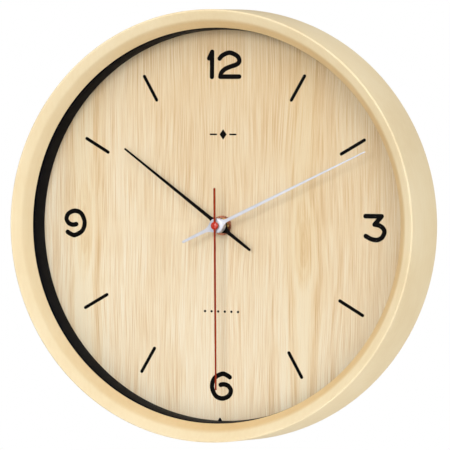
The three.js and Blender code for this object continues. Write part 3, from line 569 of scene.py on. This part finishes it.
def plate(name, loops, front, rear, rounding=0.0):
    """Outlines in the dial's plane, the outside and then the holes, as a plate with round edges."""
    curve = bpy.data.curves.new(name, "CURVE")
    curve.dimensions = "2D"
    curve.fill_mode = "BOTH"
    curve.extrude = (rear - front) / 2 - rounding
    curve.bevel_depth = rounding
    curve.bevel_resolution = 2
    curve.offset = -rounding
    for loop in loops:
        spline = curve.splines.new("POLY")
        spline.points.add(len(loop) - 1)
        for point, (x, z) in zip(spline.points, loop):
            point.co = (x, z, 0, 1)
        spline.use_cyclic_u = True
    holder = bpy.data.objects.new(name, curve)
    mesh = evaluated(holder)
    bpy.data.curves.remove(curve)
    shape = bmesh.new()
    shape.from_mesh(mesh)
    bpy.data.meshes.remove(mesh)
    for vertex in shape.verts:
        x, z, depth = vertex.co
        vertex.co = world_point(x, (front + rear) / 2 - depth, z)
    return clean(shape, name)


def block(name, low, high, rounding=0.0):
    """A box between two corners with rounded edges."""
    shape = bmesh.new()
    bmesh.ops.create_cube(shape, size=1)
    low, high = world_point(*low), world_point(*high)
    for vertex in shape.verts:
        vertex.co = Vector(low[i] if vertex.co[i] < 0 else high[i] for i in range(3))
    if rounding:
        bmesh.ops.bevel(
            shape, geom=list(shape.edges), offset=rounding * MM, segments=3, profile=0.5,
            affect="EDGES")
    return clean(shape, name)


def combined(mesh, tools, operation="DIFFERENCE"):
    """A mesh cut by, or joined with, several others."""
    for tool in tools:
        target, other = (bpy.data.objects.new(m.name, m) for m in (mesh, tool))
        bpy.context.scene.collection.objects.link(other)
        modifier = target.modifiers.new("combine", "BOOLEAN")
        modifier.operation = operation
        modifier.solver = "EXACT"
        modifier.object = other
        result = evaluated(target)
        result.name = mesh.name
        bpy.data.objects.remove(other)
        for old in (mesh, tool):
            bpy.data.meshes.remove(old)
        mesh = result
    return mesh


def gathered(name, meshes):
    """Several meshes as one, without cutting them."""
    shape = bmesh.new()
    for mesh in meshes:
        shape.from_mesh(mesh)
        bpy.data.meshes.remove(mesh)
    mesh = bpy.data.meshes.new(name)
    shape.to_mesh(mesh)
    shape.free()
    return mesh


def clockwise(mesh, degrees, middle=(0, 0)):
    """Turns a mesh clockwise, as the dial's viewer sees it, about a place in the dial's plane."""
    pivot = world_point(middle[0], 0, middle[1])
    spin = Matrix.Rotation(math.radians(degrees), 4, "Y")
    mesh.transform(Matrix.Translation(pivot) @ spin @ Matrix.Translation(-pivot))
    return mesh


def rim_to_top(radius, foot, rise, steps):
    """A dome's profile: (radius, y) points from its rim to its top."""
    angles = [math.radians(90 * i / steps) for i in range(steps + 1)]
    return [(radius * math.cos(angle), foot + rise * math.sin(angle)) for angle in angles]


def bevelled(name, bore, radius, span_y, bevel, segments):
    """A ring, or a disc when its bore is 0, with its outer edges bevelled."""
    front, rear = span_y
    return turned(name, [
        (bore, front), (radius - bevel, front), (radius, front + bevel),
        (radius, rear - bevel), (radius - bevel, rear), (bore, rear), (bore, front)], segments)


# ---- Case, glass and dial ----
GLASS_BEVEL = 0.35
SPACER_BORE = {"front": 135.2, "rear": 134.9, "rounding": 0.3}
# The small triangle at 6 o'clock: its root is inside the ring, and it ends just off the dial.
POINTER = {"half": 1.9, "height": 2, "thickness": 1.5, "root": 0.8, "off_dial": 0.05, "rounding": 0.1}
DIAL_ROUNDING = 0.12


def add_case():
    back = (span("case_ring")[1].x, span("case_ring")[1].y)
    bore = span("front_glass")[1].x + GAP
    lip_rear = span("front_glass")[0].y - GAP
    ledge = span("back_plate")[0].y - GAP
    lip_back, lip_front = (LIP["radius"], lip_rear), (LIP["radius"], lip_rear - LIP["thickness"])
    inner_back, inner_ledge = (REBATE["radius"], back[1]), (REBATE["radius"], ledge)
    profile = [
        (bore, lip_rear),
        *rounded((bore, lip_rear), lip_back, lip_front, LIP["rounding"], 3),
        *rounded(lip_back, lip_front, SHOULDER, LIP["rounding"], 3),
        *rounded(lip_front, SHOULDER, CREST, SHOULDER_ROUNDING, 10),
        *rounded(SHOULDER, CREST, back, CREST_ROUNDING, 12),
        *rounded(CREST, back, inner_back, BACK_ROUNDING, 8),
        *rounded(back, inner_back, inner_ledge, REBATE["rounding"], 3),
        inner_ledge, (bore, ledge), (bore, lip_rear),
    ]
    shell = turned("case_shell", profile, 288)
    add_piece(shell, "case_lacquer", replaces=["case_ring"], sharp=60)


def add_glass():
    low, high = span("front_glass")
    pane = bevelled("glass_pane", 0, high.x, (low.y, high.y), GLASS_BEVEL, 192)
    add_piece(pane, "clear_glass", replaces=["front_glass"])


def add_spacer():
    low, high = span("spacer_ring")
    front, rear = (SPACER_BORE["front"], low.y), (SPACER_BORE["rear"], high.y)
    outer_front, outer_rear = (high.x, low.y), (high.x, high.y)
    rounding = SPACER_BORE["rounding"]
    wall = turned("wall", [
        *rounded(outer_front, front, rear, rounding, 4),
        *rounded(front, rear, outer_rear, rounding, 4),
        outer_rear, outer_front, (front[0] + rounding, low.y),
    ], 240)
    foot = -SPACER_BORE["rear"]
    root = foot - POINTER["root"]
    outline = [(-POINTER["half"], root), (POINTER["half"], root), (0, foot + POINTER["height"])]
    pointer = plate(
        "pointer", [outline], high.y - POINTER["thickness"], high.y - POINTER["off_dial"],
        POINTER["rounding"])
    ring = gathered("black_spacer", [wall, pointer])
    add_piece(ring, "black_ring", replaces=["spacer_ring"])


def add_dial():
    high = span("dial")[1]
    outlines = [circle(high.x, 240), circle(bushing_hole())]
    board = plate("dial_board", outlines, 0, high.y, DIAL_ROUNDING)
    add_piece(board, "dial_wood", replaces=["dial"])


# ---- Print on the dial ----
INK = (-0.06, 0.1)  # front and rear: the print sinks a little into the dial
BAR = {"outer": 120, "inner": 98.7, "width": 2.3}
NUMERAL = {"radius": 111.1, "height": 20, "stroke": 3.25}
LOZENGE = {"half_width": 2.6, "half_height": 3.6, "z": 62.8}
DASH = {"inner": 5, "outer": 9.4, "width": 1.1}  # on each side of the lozenge
DOTS = {"count": 6, "radius": 0.85, "spacing": 4.9, "z": -59.5}


def stroke(points, width):
    """The outline of a pen line of even width with round ends."""
    half = width / 2
    last = len(points) - 1
    headings = []
    for i in range(len(points)):
        before, after = points[max(i - 1, 0)], points[min(i + 1, last)]
        headings.append(math.degrees(math.atan2(after[1] - before[1], after[0] - before[0])) + 90)
    left = [polar(half, headings[i], points[i]) for i in range(1, last)]
    right = [polar(half, headings[i] + 180, points[i]) for i in range(1, last)]
    end = arc(points[last], half, headings[last], headings[last] - 180, 8)
    start = arc(points[0], half, headings[0] + 180, headings[0], 8)
    return left + end + right[::-1] + start


def smooth_line(points):
    """A Catmull-Rom curve through points."""
    steps = 6
    padded = [points[0], *points, points[-1]]
    line = []
    for a, b, c, d in zip(padded, padded[1:], padded[2:], padded[3:]):
        for i in range(steps):
            t = i / steps
            weights = (
                (2 - t) * t * t - t, (3 * t - 5) * t * t + 2,
                (4 - 3 * t) * t * t + t, (t - 1) * t * t)
            pulls = list(zip(weights, (a, b, c, d)))
            line.append(tuple(sum(weight * p[k] for weight, p in pulls) / 2 for k in (0, 1)))
    return [*line, points[-1]]


# Each digit is its width and its pen lines, in a box one unit high.
DIGITS = {
    "1": (0.39, [[(0.18, 0.93), (0.18, 0.07)], [(0.07, 0.71), (0.18, 0.93)]]),
    "2": (0.88, [
        smooth_line([
            (0.07, 0.7), (0.18, 0.81), (0.43, 0.9), (0.7, 0.8), (0.8, 0.64), (0.73, 0.51),
            (0.46, 0.415), (0.27, 0.335), (0.14, 0.21), (0.1, 0.075)]),
        [(0.1, 0.075), (0.8, 0.075)]]),
    "3": (0.83, [
        [(0.075, 0.9), (0.65, 0.9)],
        [(0.65, 0.9), (0.4, 0.62)],
        smooth_line([
            (0.4, 0.62), (0.56, 0.59), (0.69, 0.51), (0.755, 0.385), (0.7, 0.225),
            (0.61, 0.14), (0.47, 0.095), (0.275, 0.13), (0.09, 0.225)])]),
    "9": (0.85, [
        smooth_line([
            (0.455, 0.455), (0.325, 0.435), (0.165, 0.49), (0.075, 0.645), (0.155, 0.83),
            (0.4, 0.925), (0.645, 0.83), (0.775, 0.53), (0.685, 0.23), (0.415, 0.075),
            (0.25, 0.105), (0.12, 0.18)])]),
}


def add_numeral(name, text, x, z, facing=1):
    """Digits side by side about a place on the dial; facing is -1 to stand them on their heads."""
    size = NUMERAL["height"]
    start = -sum(DIGITS[digit][0] for digit in text) / 2
    lines = []
    for digit in text:
        width, pen_lines = DIGITS[digit]
        for points in pen_lines:
            moved = [
                (x + facing * (start + u) * size, z + facing * (v - 0.5) * size) for u, v in points]
            lines.append(plate(name, [stroke(moved, NUMERAL["stroke"])], *INK))
        start += width
    add_piece(combined(lines[0], lines[1:], "UNION"), "dial_ink")


def add_ornaments():
    """Plain ornaments above and below the centre: a lozenge between two dashes, and a row of dots."""
    across, tall, z = LOZENGE["half_width"], LOZENGE["half_height"], LOZENGE["z"]
    lozenge = [(across, z), (0, z + tall), (-across, z), (0, z - tall)]
    dashes = [
        stroke([(side * DASH["inner"], z), (side * DASH["outer"], z)], DASH["width"])
        for side in (-1, 1)]
    middle = (DOTS["count"] - 1) / 2
    dots = [
        circle(DOTS["radius"], 24, ((i - middle) * DOTS["spacing"], DOTS["z"]))
        for i in range(DOTS["count"])]
    marks = [plate("mark", [outline], *INK) for outline in (lozenge, *dashes, *dots)]
    add_piece(gathered("ornaments", marks), "dial_ink")


def add_print():
    radius = NUMERAL["radius"]
    add_numeral("numeral_12", "12", 0.4, radius)
    add_numeral("numeral_3", "3", radius, 0)
    add_numeral("numeral_6", "9", 0.5, -radius, facing=-1)
    add_numeral("numeral_9", "9", -radius, 0)
    half = BAR["width"] / 2
    line = stroke([(0, BAR["inner"] + half), (0, BAR["outer"] - half)], BAR["width"])
    bars = [clockwise(plate("bar", [line], *INK), hour * 30) for hour in range(1, 12) if hour % 3]
    add_piece(gathered("hour_bars", bars), "dial_ink")
    add_ornaments()


# ---- Hands ----
TIME_SHOWN = {"hour": 306.2, "minute": 64.4, "second": 179.0}  # clockwise degrees, as in the CAD
HOUR_HAND = {"tip": 89, "tail": 28.4, "tip_half": 0.68, "root_half": 1.25, "hub": 5.2, "bore": 2.6}
MINUTE_HAND = {
    "tip": 119.4, "tail": 27.6, "tip_half": 0.42, "root_half": 1.15, "hub": 5.15, "bore": 1.6}
SECOND_HAND = {"tip": 113, "tail": 25.8, "tip_half": 0.6, "root_half": 0.75, "hub": 2.75}
TAIL_SHARE = 0.73  # a tail's half width, as a share of the root's
# The hollow flare from a hub into its blade: its half width at the hub, where it starts and how far it
# runs, and how hollow it is. The blade keeps to the waist beside the hub. All but hollow are shares of
# the hub's radius.
FLARE = {"half": 0.62, "start": 0.78, "run": 1.1, "hollow": 2.2, "waist": 0.97}
BLADE = {"thickness": 0.4, "rounding": 0.08, "play": 0.1}  # play: its hole round the hub's bore


def flare(hand, direction):
    """The right side of a flare, from the hub outwards, towards the tip (1) or the tail (-1)."""
    root_half, hub, steps = hand["root_half"], hand["hub"], 8
    extra = hub * FLARE["half"] - root_half
    shares = [i / steps for i in range(steps + 1)]
    return [
        (root_half + extra * (1 - share) ** FLARE["hollow"],
         direction * hub * (FLARE["start"] + FLARE["run"] * share))
        for share in shares]


def hand_blade(hand, front):
    """A hand pointing at 12: hollow flares out of the hub, then a straight taper to a round tip."""
    tip_half, tail_half = hand["tip_half"], hand["root_half"] * TAIL_SHARE
    right = [
        *arc((0, tail_half - hand["tail"]), tail_half, -90, 0, 6),
        *flare(hand, -1)[::-1],
        *arc((0, 0), hand["hub"] * FLARE["waist"], -40, 40, 8),
        *flare(hand, 1),
        *arc((0, hand["tip"] - tip_half), tip_half, 0, 90, 6),
    ]
    outline = right + [(-x, z) for x, z in right[::-1]]
    hole = circle(hand["bore"] + BLADE["play"])
    return plate("blade", [outline, hole], front, front + BLADE["thickness"], BLADE["rounding"])


def add_hour_hand():
    low, high = span("hour_hand")
    bore, hub = HOUR_HAND["bore"], HOUR_HAND["hub"]
    collar, proud, bevel, step = bore + 1, 0.15, 0.2, 0.05
    front = low.y + proud
    rear = front + BLADE["thickness"]
    boss = turned("boss", [
        (bore, low.y), (hub - bevel, low.y), (hub, front), (hub, rear),
        (collar, rear + step), (collar, high.y), (bore, high.y), (bore, low.y)], 64)
    hand = gathered("hour_hand_blade", [hand_blade(HOUR_HAND, front), boss])
    clockwise(hand, TIME_SHOWN["hour"])
    add_piece(hand, "hand_black", "hours", ["hour_hand"])


def add_minute_hand():
    low, high = span("minute_hand")
    bore, hub = MINUTE_HAND["bore"], MINUTE_HAND["hub"]
    proud, bevel = 0.06, 0.25
    front_edge = [(0.5, 0), (0.15, 0.1), (0, 0.35)]  # inwards and backwards from the drum's corner
    drum = turned("drum", [
        (bore, low.y), *((hub - inwards, low.y + back) for inwards, back in front_edge),
        (hub, high.y - bevel), (hub - bevel, high.y), (bore, high.y), (bore, low.y)], 72)
    blade = hand_blade(MINUTE_HAND, low.y + proud)
    hand = clockwise(gathered("minute_hand_blade", [blade, drum]), TIME_SHOWN["minute"])
    add_piece(hand, "hand_silver", "minutes", ["minute_hand"])


def add_second_hand():
    low, high = span("second_hand")
    rear, front = high.y, high.y - BLADE["thickness"]
    tip_half, root_half = SECOND_HAND["tip_half"], SECOND_HAND["root_half"]
    outline = [
        *arc((0, tip_half - SECOND_HAND["tail"]), root_half, -180, 0, 8), (root_half, 0),
        *arc((0, SECOND_HAND["tip"] - tip_half), tip_half, 0, 180, 8), (-root_half, 0)]
    blade = plate("second_hand_blade", [outline], front, rear, BLADE["rounding"])
    clockwise(blade, TIME_SHOWN["second"])
    add_piece(blade, "hand_red", "seconds", ["second_hand"])
    hub, foot, bevel = SECOND_HAND["hub"], rear - 0.02, 0.15
    boss = turned("second_boss", [
        (0, foot), (hub - bevel, foot), (hub, rear - bevel),
        *rim_to_top(hub, front, low.y - front, 10)], 48)
    add_piece(boss, "boss_red", "seconds", ["second_hand"])
    low, high = span("second_collet")
    bore, bevel = 0.6, 0.2
    collet = bevelled("collet", bore, high.x, (low.y, high.y), bevel, 48)
    add_piece(collet, "brass", "seconds", ["second_collet"])


# ---- Fixing at the middle of the dial ----
def add_fixing():
    """Copper washer on the dial and brass nut over it, round the movement's threaded bushing."""
    low, high = span("nut_washer")
    bore, bevel = bushing_hole(), 0.2
    washer = turned("washer", [
        (bore, low.y), (high.x - bevel, low.y), (high.x, low.y + bevel), (high.x, high.y),
        (bore, high.y), (bore, low.y)], 96)
    add_piece(washer, "copper", replaces=["nut_washer"])
    low, high = span("fixing_nut")
    narrow, wide, depth = high.x * 0.88, high.x * 1.02, 0.4
    cone = turned("cone", [
        (0, low.y), (narrow, low.y), (wide, low.y + depth), (wide, high.y), (0, high.y)], 64)
    body = plate("nut", [circle(high.x, 6), circle(bore)], low.y, high.y)
    nut = combined(body, [cone], "INTERSECT")
    add_piece(nut, "brass", replaces=["fixing_nut"])


# ---- Back of the case ----
OVERCUT = 1  # how far a cutting tool stands out of what it cuts
# A screw's head, with a cross recess: shares of the head's radius, then millimetres and degrees.
HEAD = {"height": 0.55, "reach": 0.62, "half": 0.14, "depth": 0.35, "rim": 0.3, "turn": 24}
# Its thread: shares of the shank's radius, then millimetres. The turns start this far from the tip.
THREAD = {"root": 0.78, "tip": 0.4, "tip_length": 0.6, "pitch": 0.8, "start": 1.2}


def rectangle(low, high, inset=0):
    """An outline between two corners of a box, or as far inside it as the inset."""
    left, right, bottom, top = low.x + inset, high.x - inset, low.z + inset, high.z - inset
    return [(left, bottom), (right, bottom), (right, top), (left, top)]


def add_back_plate():
    low, high = span("back_plate")
    gap, corner, rounding = 0.6, 1.0, 0.2
    window = softened(rectangle(*span("movement_case"), -gap), corner)
    screws = [circle(SCREW_HOLE, 20, middle_of(node)) for node in BACK_SCREWS]
    board = plate("back_board", [circle(high.x, 240), window, *screws], low.y, high.y, rounding)
    add_piece(board, "hardboard", replaces=["back_plate"], sharp=12)


def cross_recess(x, z, rear, head):
    """A cross to cut into a screw's head, which has that radius."""
    reach, half, depth = (head * HEAD[key] for key in ("reach", "half", "depth"))
    bars = [
        block("bar", (x - a, rear - depth, z - b), (x + a, rear + OVERCUT, z + b))
        for a, b in ((reach, half), (half, reach))]
    return [clockwise(bar, HEAD["turn"], (x, z)) for bar in bars]


def threaded(shank, tip, seat):
    """A threaded shank's profile: (radius, y) points from its tip to its seat under the head."""
    turns, y = [], seat
    while y > tip + THREAD["start"]:
        turns += [(shank, y), (shank * THREAD["root"], y - THREAD["pitch"] / 2)]
        y -= THREAD["pitch"]
    return [(0, tip), (shank * THREAD["tip"], tip + THREAD["tip_length"]), *turns[::-1]]


def add_screw(node, material, shank):
    """A pan-head screw with a cross recess and a threaded shank, its head towards the back."""
    low, high = span(node)
    x, z = middle_of(node)
    head = (high.x - low.x) / 2
    seat = high.y - head * HEAD["height"]
    rim = seat + HEAD["rim"]
    profile = [*threaded(shank, low.y, seat), (head, seat), *rim_to_top(head, rim, high.y - rim, 9)]
    body = turned(node + "_body", profile, 32, (x, z))
    screw = combined(body, cross_recess(x, z, high.y, head))
    add_piece(screw, material, replaces=[node], sharp=40)


def add_screws():
    for node in BACK_SCREWS:
        add_screw(node, "zinc", 1.2)
    for node in HANGER_SCREWS:
        add_screw(node, "steel", 1.1)


# The keyhole in the hanger's plate: a round entry below a slot with a round top. The block behind it
# has a wider pocket of the same shape, for the wall screw's head.
KEYHOLE = {"entry": 5, "slot": 2.4, "drop": 10}
POCKET = {"entry": 7, "slot": 6, "depth": 8.5}
HOOK = (0, -CENTRE.z / MM)  # the wall screw's resting place, the frame's own origin


def keyway(entry, slot):
    x, z = HOOK
    lean = math.degrees(math.asin(slot / entry))
    below = (x, z - KEYHOLE["drop"])
    return [*arc(below, entry, 90 + lean, 450 - lean, 32), *arc(HOOK, slot, 0, 180, 16)]


def add_hanger():
    low, high = span("hanger_block")
    rounding, pilot_depth = 0.5, 8
    holes = [circle(SCREW_HOLE, 20, middle_of(node)) for node in HANGER_SCREWS]
    cuts = [(keyway(POCKET["entry"], POCKET["slot"]), POCKET["depth"])]
    cuts += [(hole, pilot_depth) for hole in holes]
    tools = [plate("cut", [outline], high.y - depth, high.y + OVERCUT) for outline, depth in cuts]
    wood = combined(block("hanger_wood", low, high, rounding), tools)
    add_piece(wood, "sawn_wood", replaces=["hanger_block"])
    low, high = span("hanger_plate")
    corner, rounding = 2.5, 0.15
    outlines = [softened(rectangle(low, high), corner), keyway(KEYHOLE["entry"], KEYHOLE["slot"])]
    sheet = plate("hanger_steel", outlines + holes, low.y, high.y, rounding)
    add_piece(sheet, "steel", replaces=["hanger_plate"], sharp=12)


# ---- Movement housing ----
WALL = 1.0


def housing_shell():
    """The movement's open box, with the bushing's hole in its floor."""
    low, high = span("movement_case")
    rounding, inner_rounding, floor = 0.7, 0.5, low.y + WALL
    inside = block(
        "inside", (low.x + WALL, floor, low.z + WALL), (high.x - WALL, high.y + 2, high.z - WALL),
        inner_rounding)
    hole = plate("hole", [circle(bushing_hole())], low.y - OVERCUT, floor + OVERCUT)
    return combined(block("shell", low, high, rounding), [inside, hole])


def battery_bay(low, high):
    """The wall over the battery and three ribs under it, their feet sunk a little into the floor."""
    floor, top = low.y + WALL, span("movement_cover")[0].z
    foot, half, rise, above, rounding = floor - 0.2, 0.5, 0.5, 0.3, 0.1
    wall = block(
        "bay_wall", (low.x + WALL, foot, top), (high.x - WALL, high.y, top + WALL), 0.15)
    return [wall] + [
        block("cradle", (x - half, foot, low.z + WALL / 2), (x + half, floor + rise, top + above),
              rounding)
        for x in (low.x / 2, 0, high.x / 2)]


def add_movement_case():
    low, high = span("movement_case")
    half, reach, front, rear, rounding = 0.35, 4, low.y + 5, high.y - 2, 0.25
    clips = [
        block("clip", (x - half, front, z - reach), (x + half, rear, z + reach), rounding)
        for x in (low.x, high.x) for z in (-24, 0)]
    parts = [housing_shell(), *battery_bay(low, high), *clips]
    add_piece(gathered("movement_shell", parts), "grey_plastic",
              replaces=["movement_case"], sharp=12)


def lid_marks(low, high):
    """Tools that cut a groove inside the lid's edge, and a dimple over each arbor."""
    floor, mouth = high.y - 0.35, high.y + 0.2
    profile = [(0, floor), (1.9, floor), (2.2, mouth), (0, mouth)]
    dimples = [
        turned("dimple", profile, 32, axis_place(joint))
        for joint in ("rotor_turn", "intermediate_turn", "third_turn", "second_hand_turn")]
    edges = [
        softened(rectangle(low, high, inset), corner) for inset, corner in ((2.5, 1), (3.1, 0.8))]
    groove = plate("groove", [edges[0], edges[1][::-1]], high.y - 0.25, high.y + 0.5)
    return [*dimples, groove]


def add_movement_cover():
    low, high = span("movement_cover")
    floor, rear = low.y, high.y
    front = span("movement_case")[1].y + GAP
    knob = axis_place("setting_knob_turn")
    play, wall, arbor_hole, lap, bevel, corner, rounding = 0.8, 0.8, 1.2, 0.1, 0.3, 1.2, 0.25
    well = span("setting_knob")[1].x - knob[0] + play
    outline = softened(rectangle(low, high), corner)
    sheet = plate("sheet", [outline, circle(well, 64, knob)], front, rear, rounding)
    sheet = combined(sheet, lid_marks(low, high))
    outer, inner, inside = well + wall, well - lap, floor + wall
    cup = turned("cup", [
        (arbor_hole, floor), (outer, floor), (outer, rear - bevel), (inner, rear),
        (inner, inside), (arbor_hole, inside), (arbor_hole, floor)], 64, knob)
    add_piece(gathered("movement_lid", [sheet, cup]), "grey_plastic",
              replaces=["movement_cover"], sharp=12)


WORKS_TEETH = 30  # of the minute works wheel, which the knob's pinion turns
PINION = {"teeth": 10, "root": 1.62, "tip": 2.65, "front": 7.1, "rear": 8.3, "rounding": 0.05}
# One tooth of that pinion: places round it, as shares of the pitch, and the circles they lie on.
TOOTH = ((-0.29, "root"), (-0.12, "tip"), (0.12, "tip"), (0.29, "root"))
KNOB_RIBS = 30


def knob_pinion(x, z):
    """The pinion that turns the minute works, its teeth between that wheel's."""
    works = axis_place("minute_works_turn")
    towards = math.degrees(math.atan2(z - works[1], x - works[0]))
    pitch = 360 / PINION["teeth"]
    first = towards + 180 - (0.5 - towards * WORKS_TEETH / 360) * pitch
    outline = [
        polar(PINION[ring], first + (tooth + share) * pitch, (x, z))
        for tooth in range(PINION["teeth"]) for share, ring in TOOTH]
    return plate("pinion", [outline], PINION["front"], PINION["rear"], PINION["rounding"])


def knob_disc(x, z, radius, rear):
    """The knob's ribbed disc, with a round groove and a slot in its back."""
    wave, thickness, rounding, points = 0.35, 2.1, 0.2, KNOB_RIBS * 6
    ribs = [
        polar(radius - wave + wave * math.cos(math.radians(i * 60)), i * 360 / points, (x, z))
        for i in range(points)]
    disc = plate("disc", [ribs], rear - thickness, rear, rounding)
    edges = [circle(radius - inset, 64, (x, z)) for inset in (1.2, 1.7)]
    groove = plate("groove", edges, rear - 0.25, rear + OVERCUT)
    reach, half, depth = 2.6, 0.4, 0.7
    slot = block(
        "slot", (x - reach, rear - depth, z - half), (x + reach, rear + OVERCUT, z + half))
    return combined(disc, [groove, slot])


def add_setting_knob():
    """A ribbed disc with a slot, on an arbor with a small pinion."""
    low, high = span("setting_knob")
    x, z = axis_place("setting_knob_turn")
    pivot, radius, step, top = 0.7, 1, PINION["front"] - GAP, high.y - 1
    arbor = turned("arbor", [
        (0, low.y), (pivot, low.y), (pivot, step), (radius, step), (radius, top), (0, top)],
        32, (x, z))
    knob = gathered("knob", [knob_disc(x, z, high.x - x, high.y), arbor, knob_pinion(x, z)])
    add_piece(knob, "white_plastic", "setting", ["setting_knob"])


# ---- Battery ----
NUB = {"length": 1.2, "foot": 2.9, "radius": 2.7, "rounding": 0.3}
MINUS_ROUNDING, PLUS_ROUNDING = 0.5, 0.6


def cell_profile(radius, left, end):
    """(radius, x) points of the cell, from its dished negative end to its nub."""
    dish_depth, dish_edge, dish_rim = 0.25, 1.6, 1.4
    right, minus, plus, nub = end - NUB["length"], MINUS_ROUNDING, PLUS_ROUNDING, NUB["rounding"]
    dish = left + dish_depth
    return [
        (0, dish), (radius - dish_edge, dish), (radius - dish_rim, left),
        *arc((radius - minus, left + minus), minus, -90, 0, 5),
        *arc((radius - plus, right - plus), plus, 0, 90, 5),
        (NUB["foot"], right), *arc((NUB["radius"] - nub, end - nub), nub, 0, 90, 4), (0, end)]


def add_battery():
    low, high = span("battery")
    y, z = (low.y + high.y) / 2, (low.z + high.z) / 2
    can = turned("can", cell_profile((high.z - low.z) / 2, low.x, high.x), 64)
    can.transform(Matrix.Translation(-CENTRE))
    can.transform(Matrix.Rotation(math.radians(-90), 4, "Z"))
    can.transform(Matrix.Translation(world_point(0, y, z)))
    can.name = "battery_cell"
    add_piece(can, "battery_wrap", replaces=["battery"])


# ---- CAD nodes that keep their shape ----
# Which nodes each material finishes.
KEPT = {
    "brass": ("threaded_bushing", "clutch_spring", "cannon_pinion"),
    "rubber": ("rubber_washer", "ic_chip"),
    "steel": (
        "battery_spring", "contact_minus", "contact_plus", "quartz_crystal", "coil_core",
        "stator_plate"),
    "board": ("circuit_board",),
    "natural_plastic": ("coil_bobbin",),
    "winding": ("coil_winding",),
    "magnet": ("rotor_magnet",),
    "white_plastic": (
        "rotor_pinion", "intermediate_wheel", "second_wheel", "centre_wheel", "hour_wheel"),
    "red_plastic": ("third_wheel", "minute_works_wheel"),
}


def finish_kept_nodes():
    for material, nodes in KEPT.items():
        for node in nodes:
            mesh = frame["nodes"][node].data
            mesh.materials.clear()
            mesh.materials.append(MATERIALS[material])


def build():
    bpy.context.scene.view_settings.view_transform = "Standard"
    make_materials()
    add_camera()
    add_world()
    for name, light in LIGHTS.items():
        add_softbox(name, *light)
    add_floor()
    add_case()
    add_glass()
    add_spacer()
    add_dial()
    add_print()
    add_hour_hand()
    add_minute_hand()
    add_second_hand()
    add_fixing()
    add_back_plate()
    add_screws()
    add_hanger()
    add_movement_case()
    add_movement_cover()
    add_setting_knob()
    add_battery()
    finish_kept_nodes()


build()
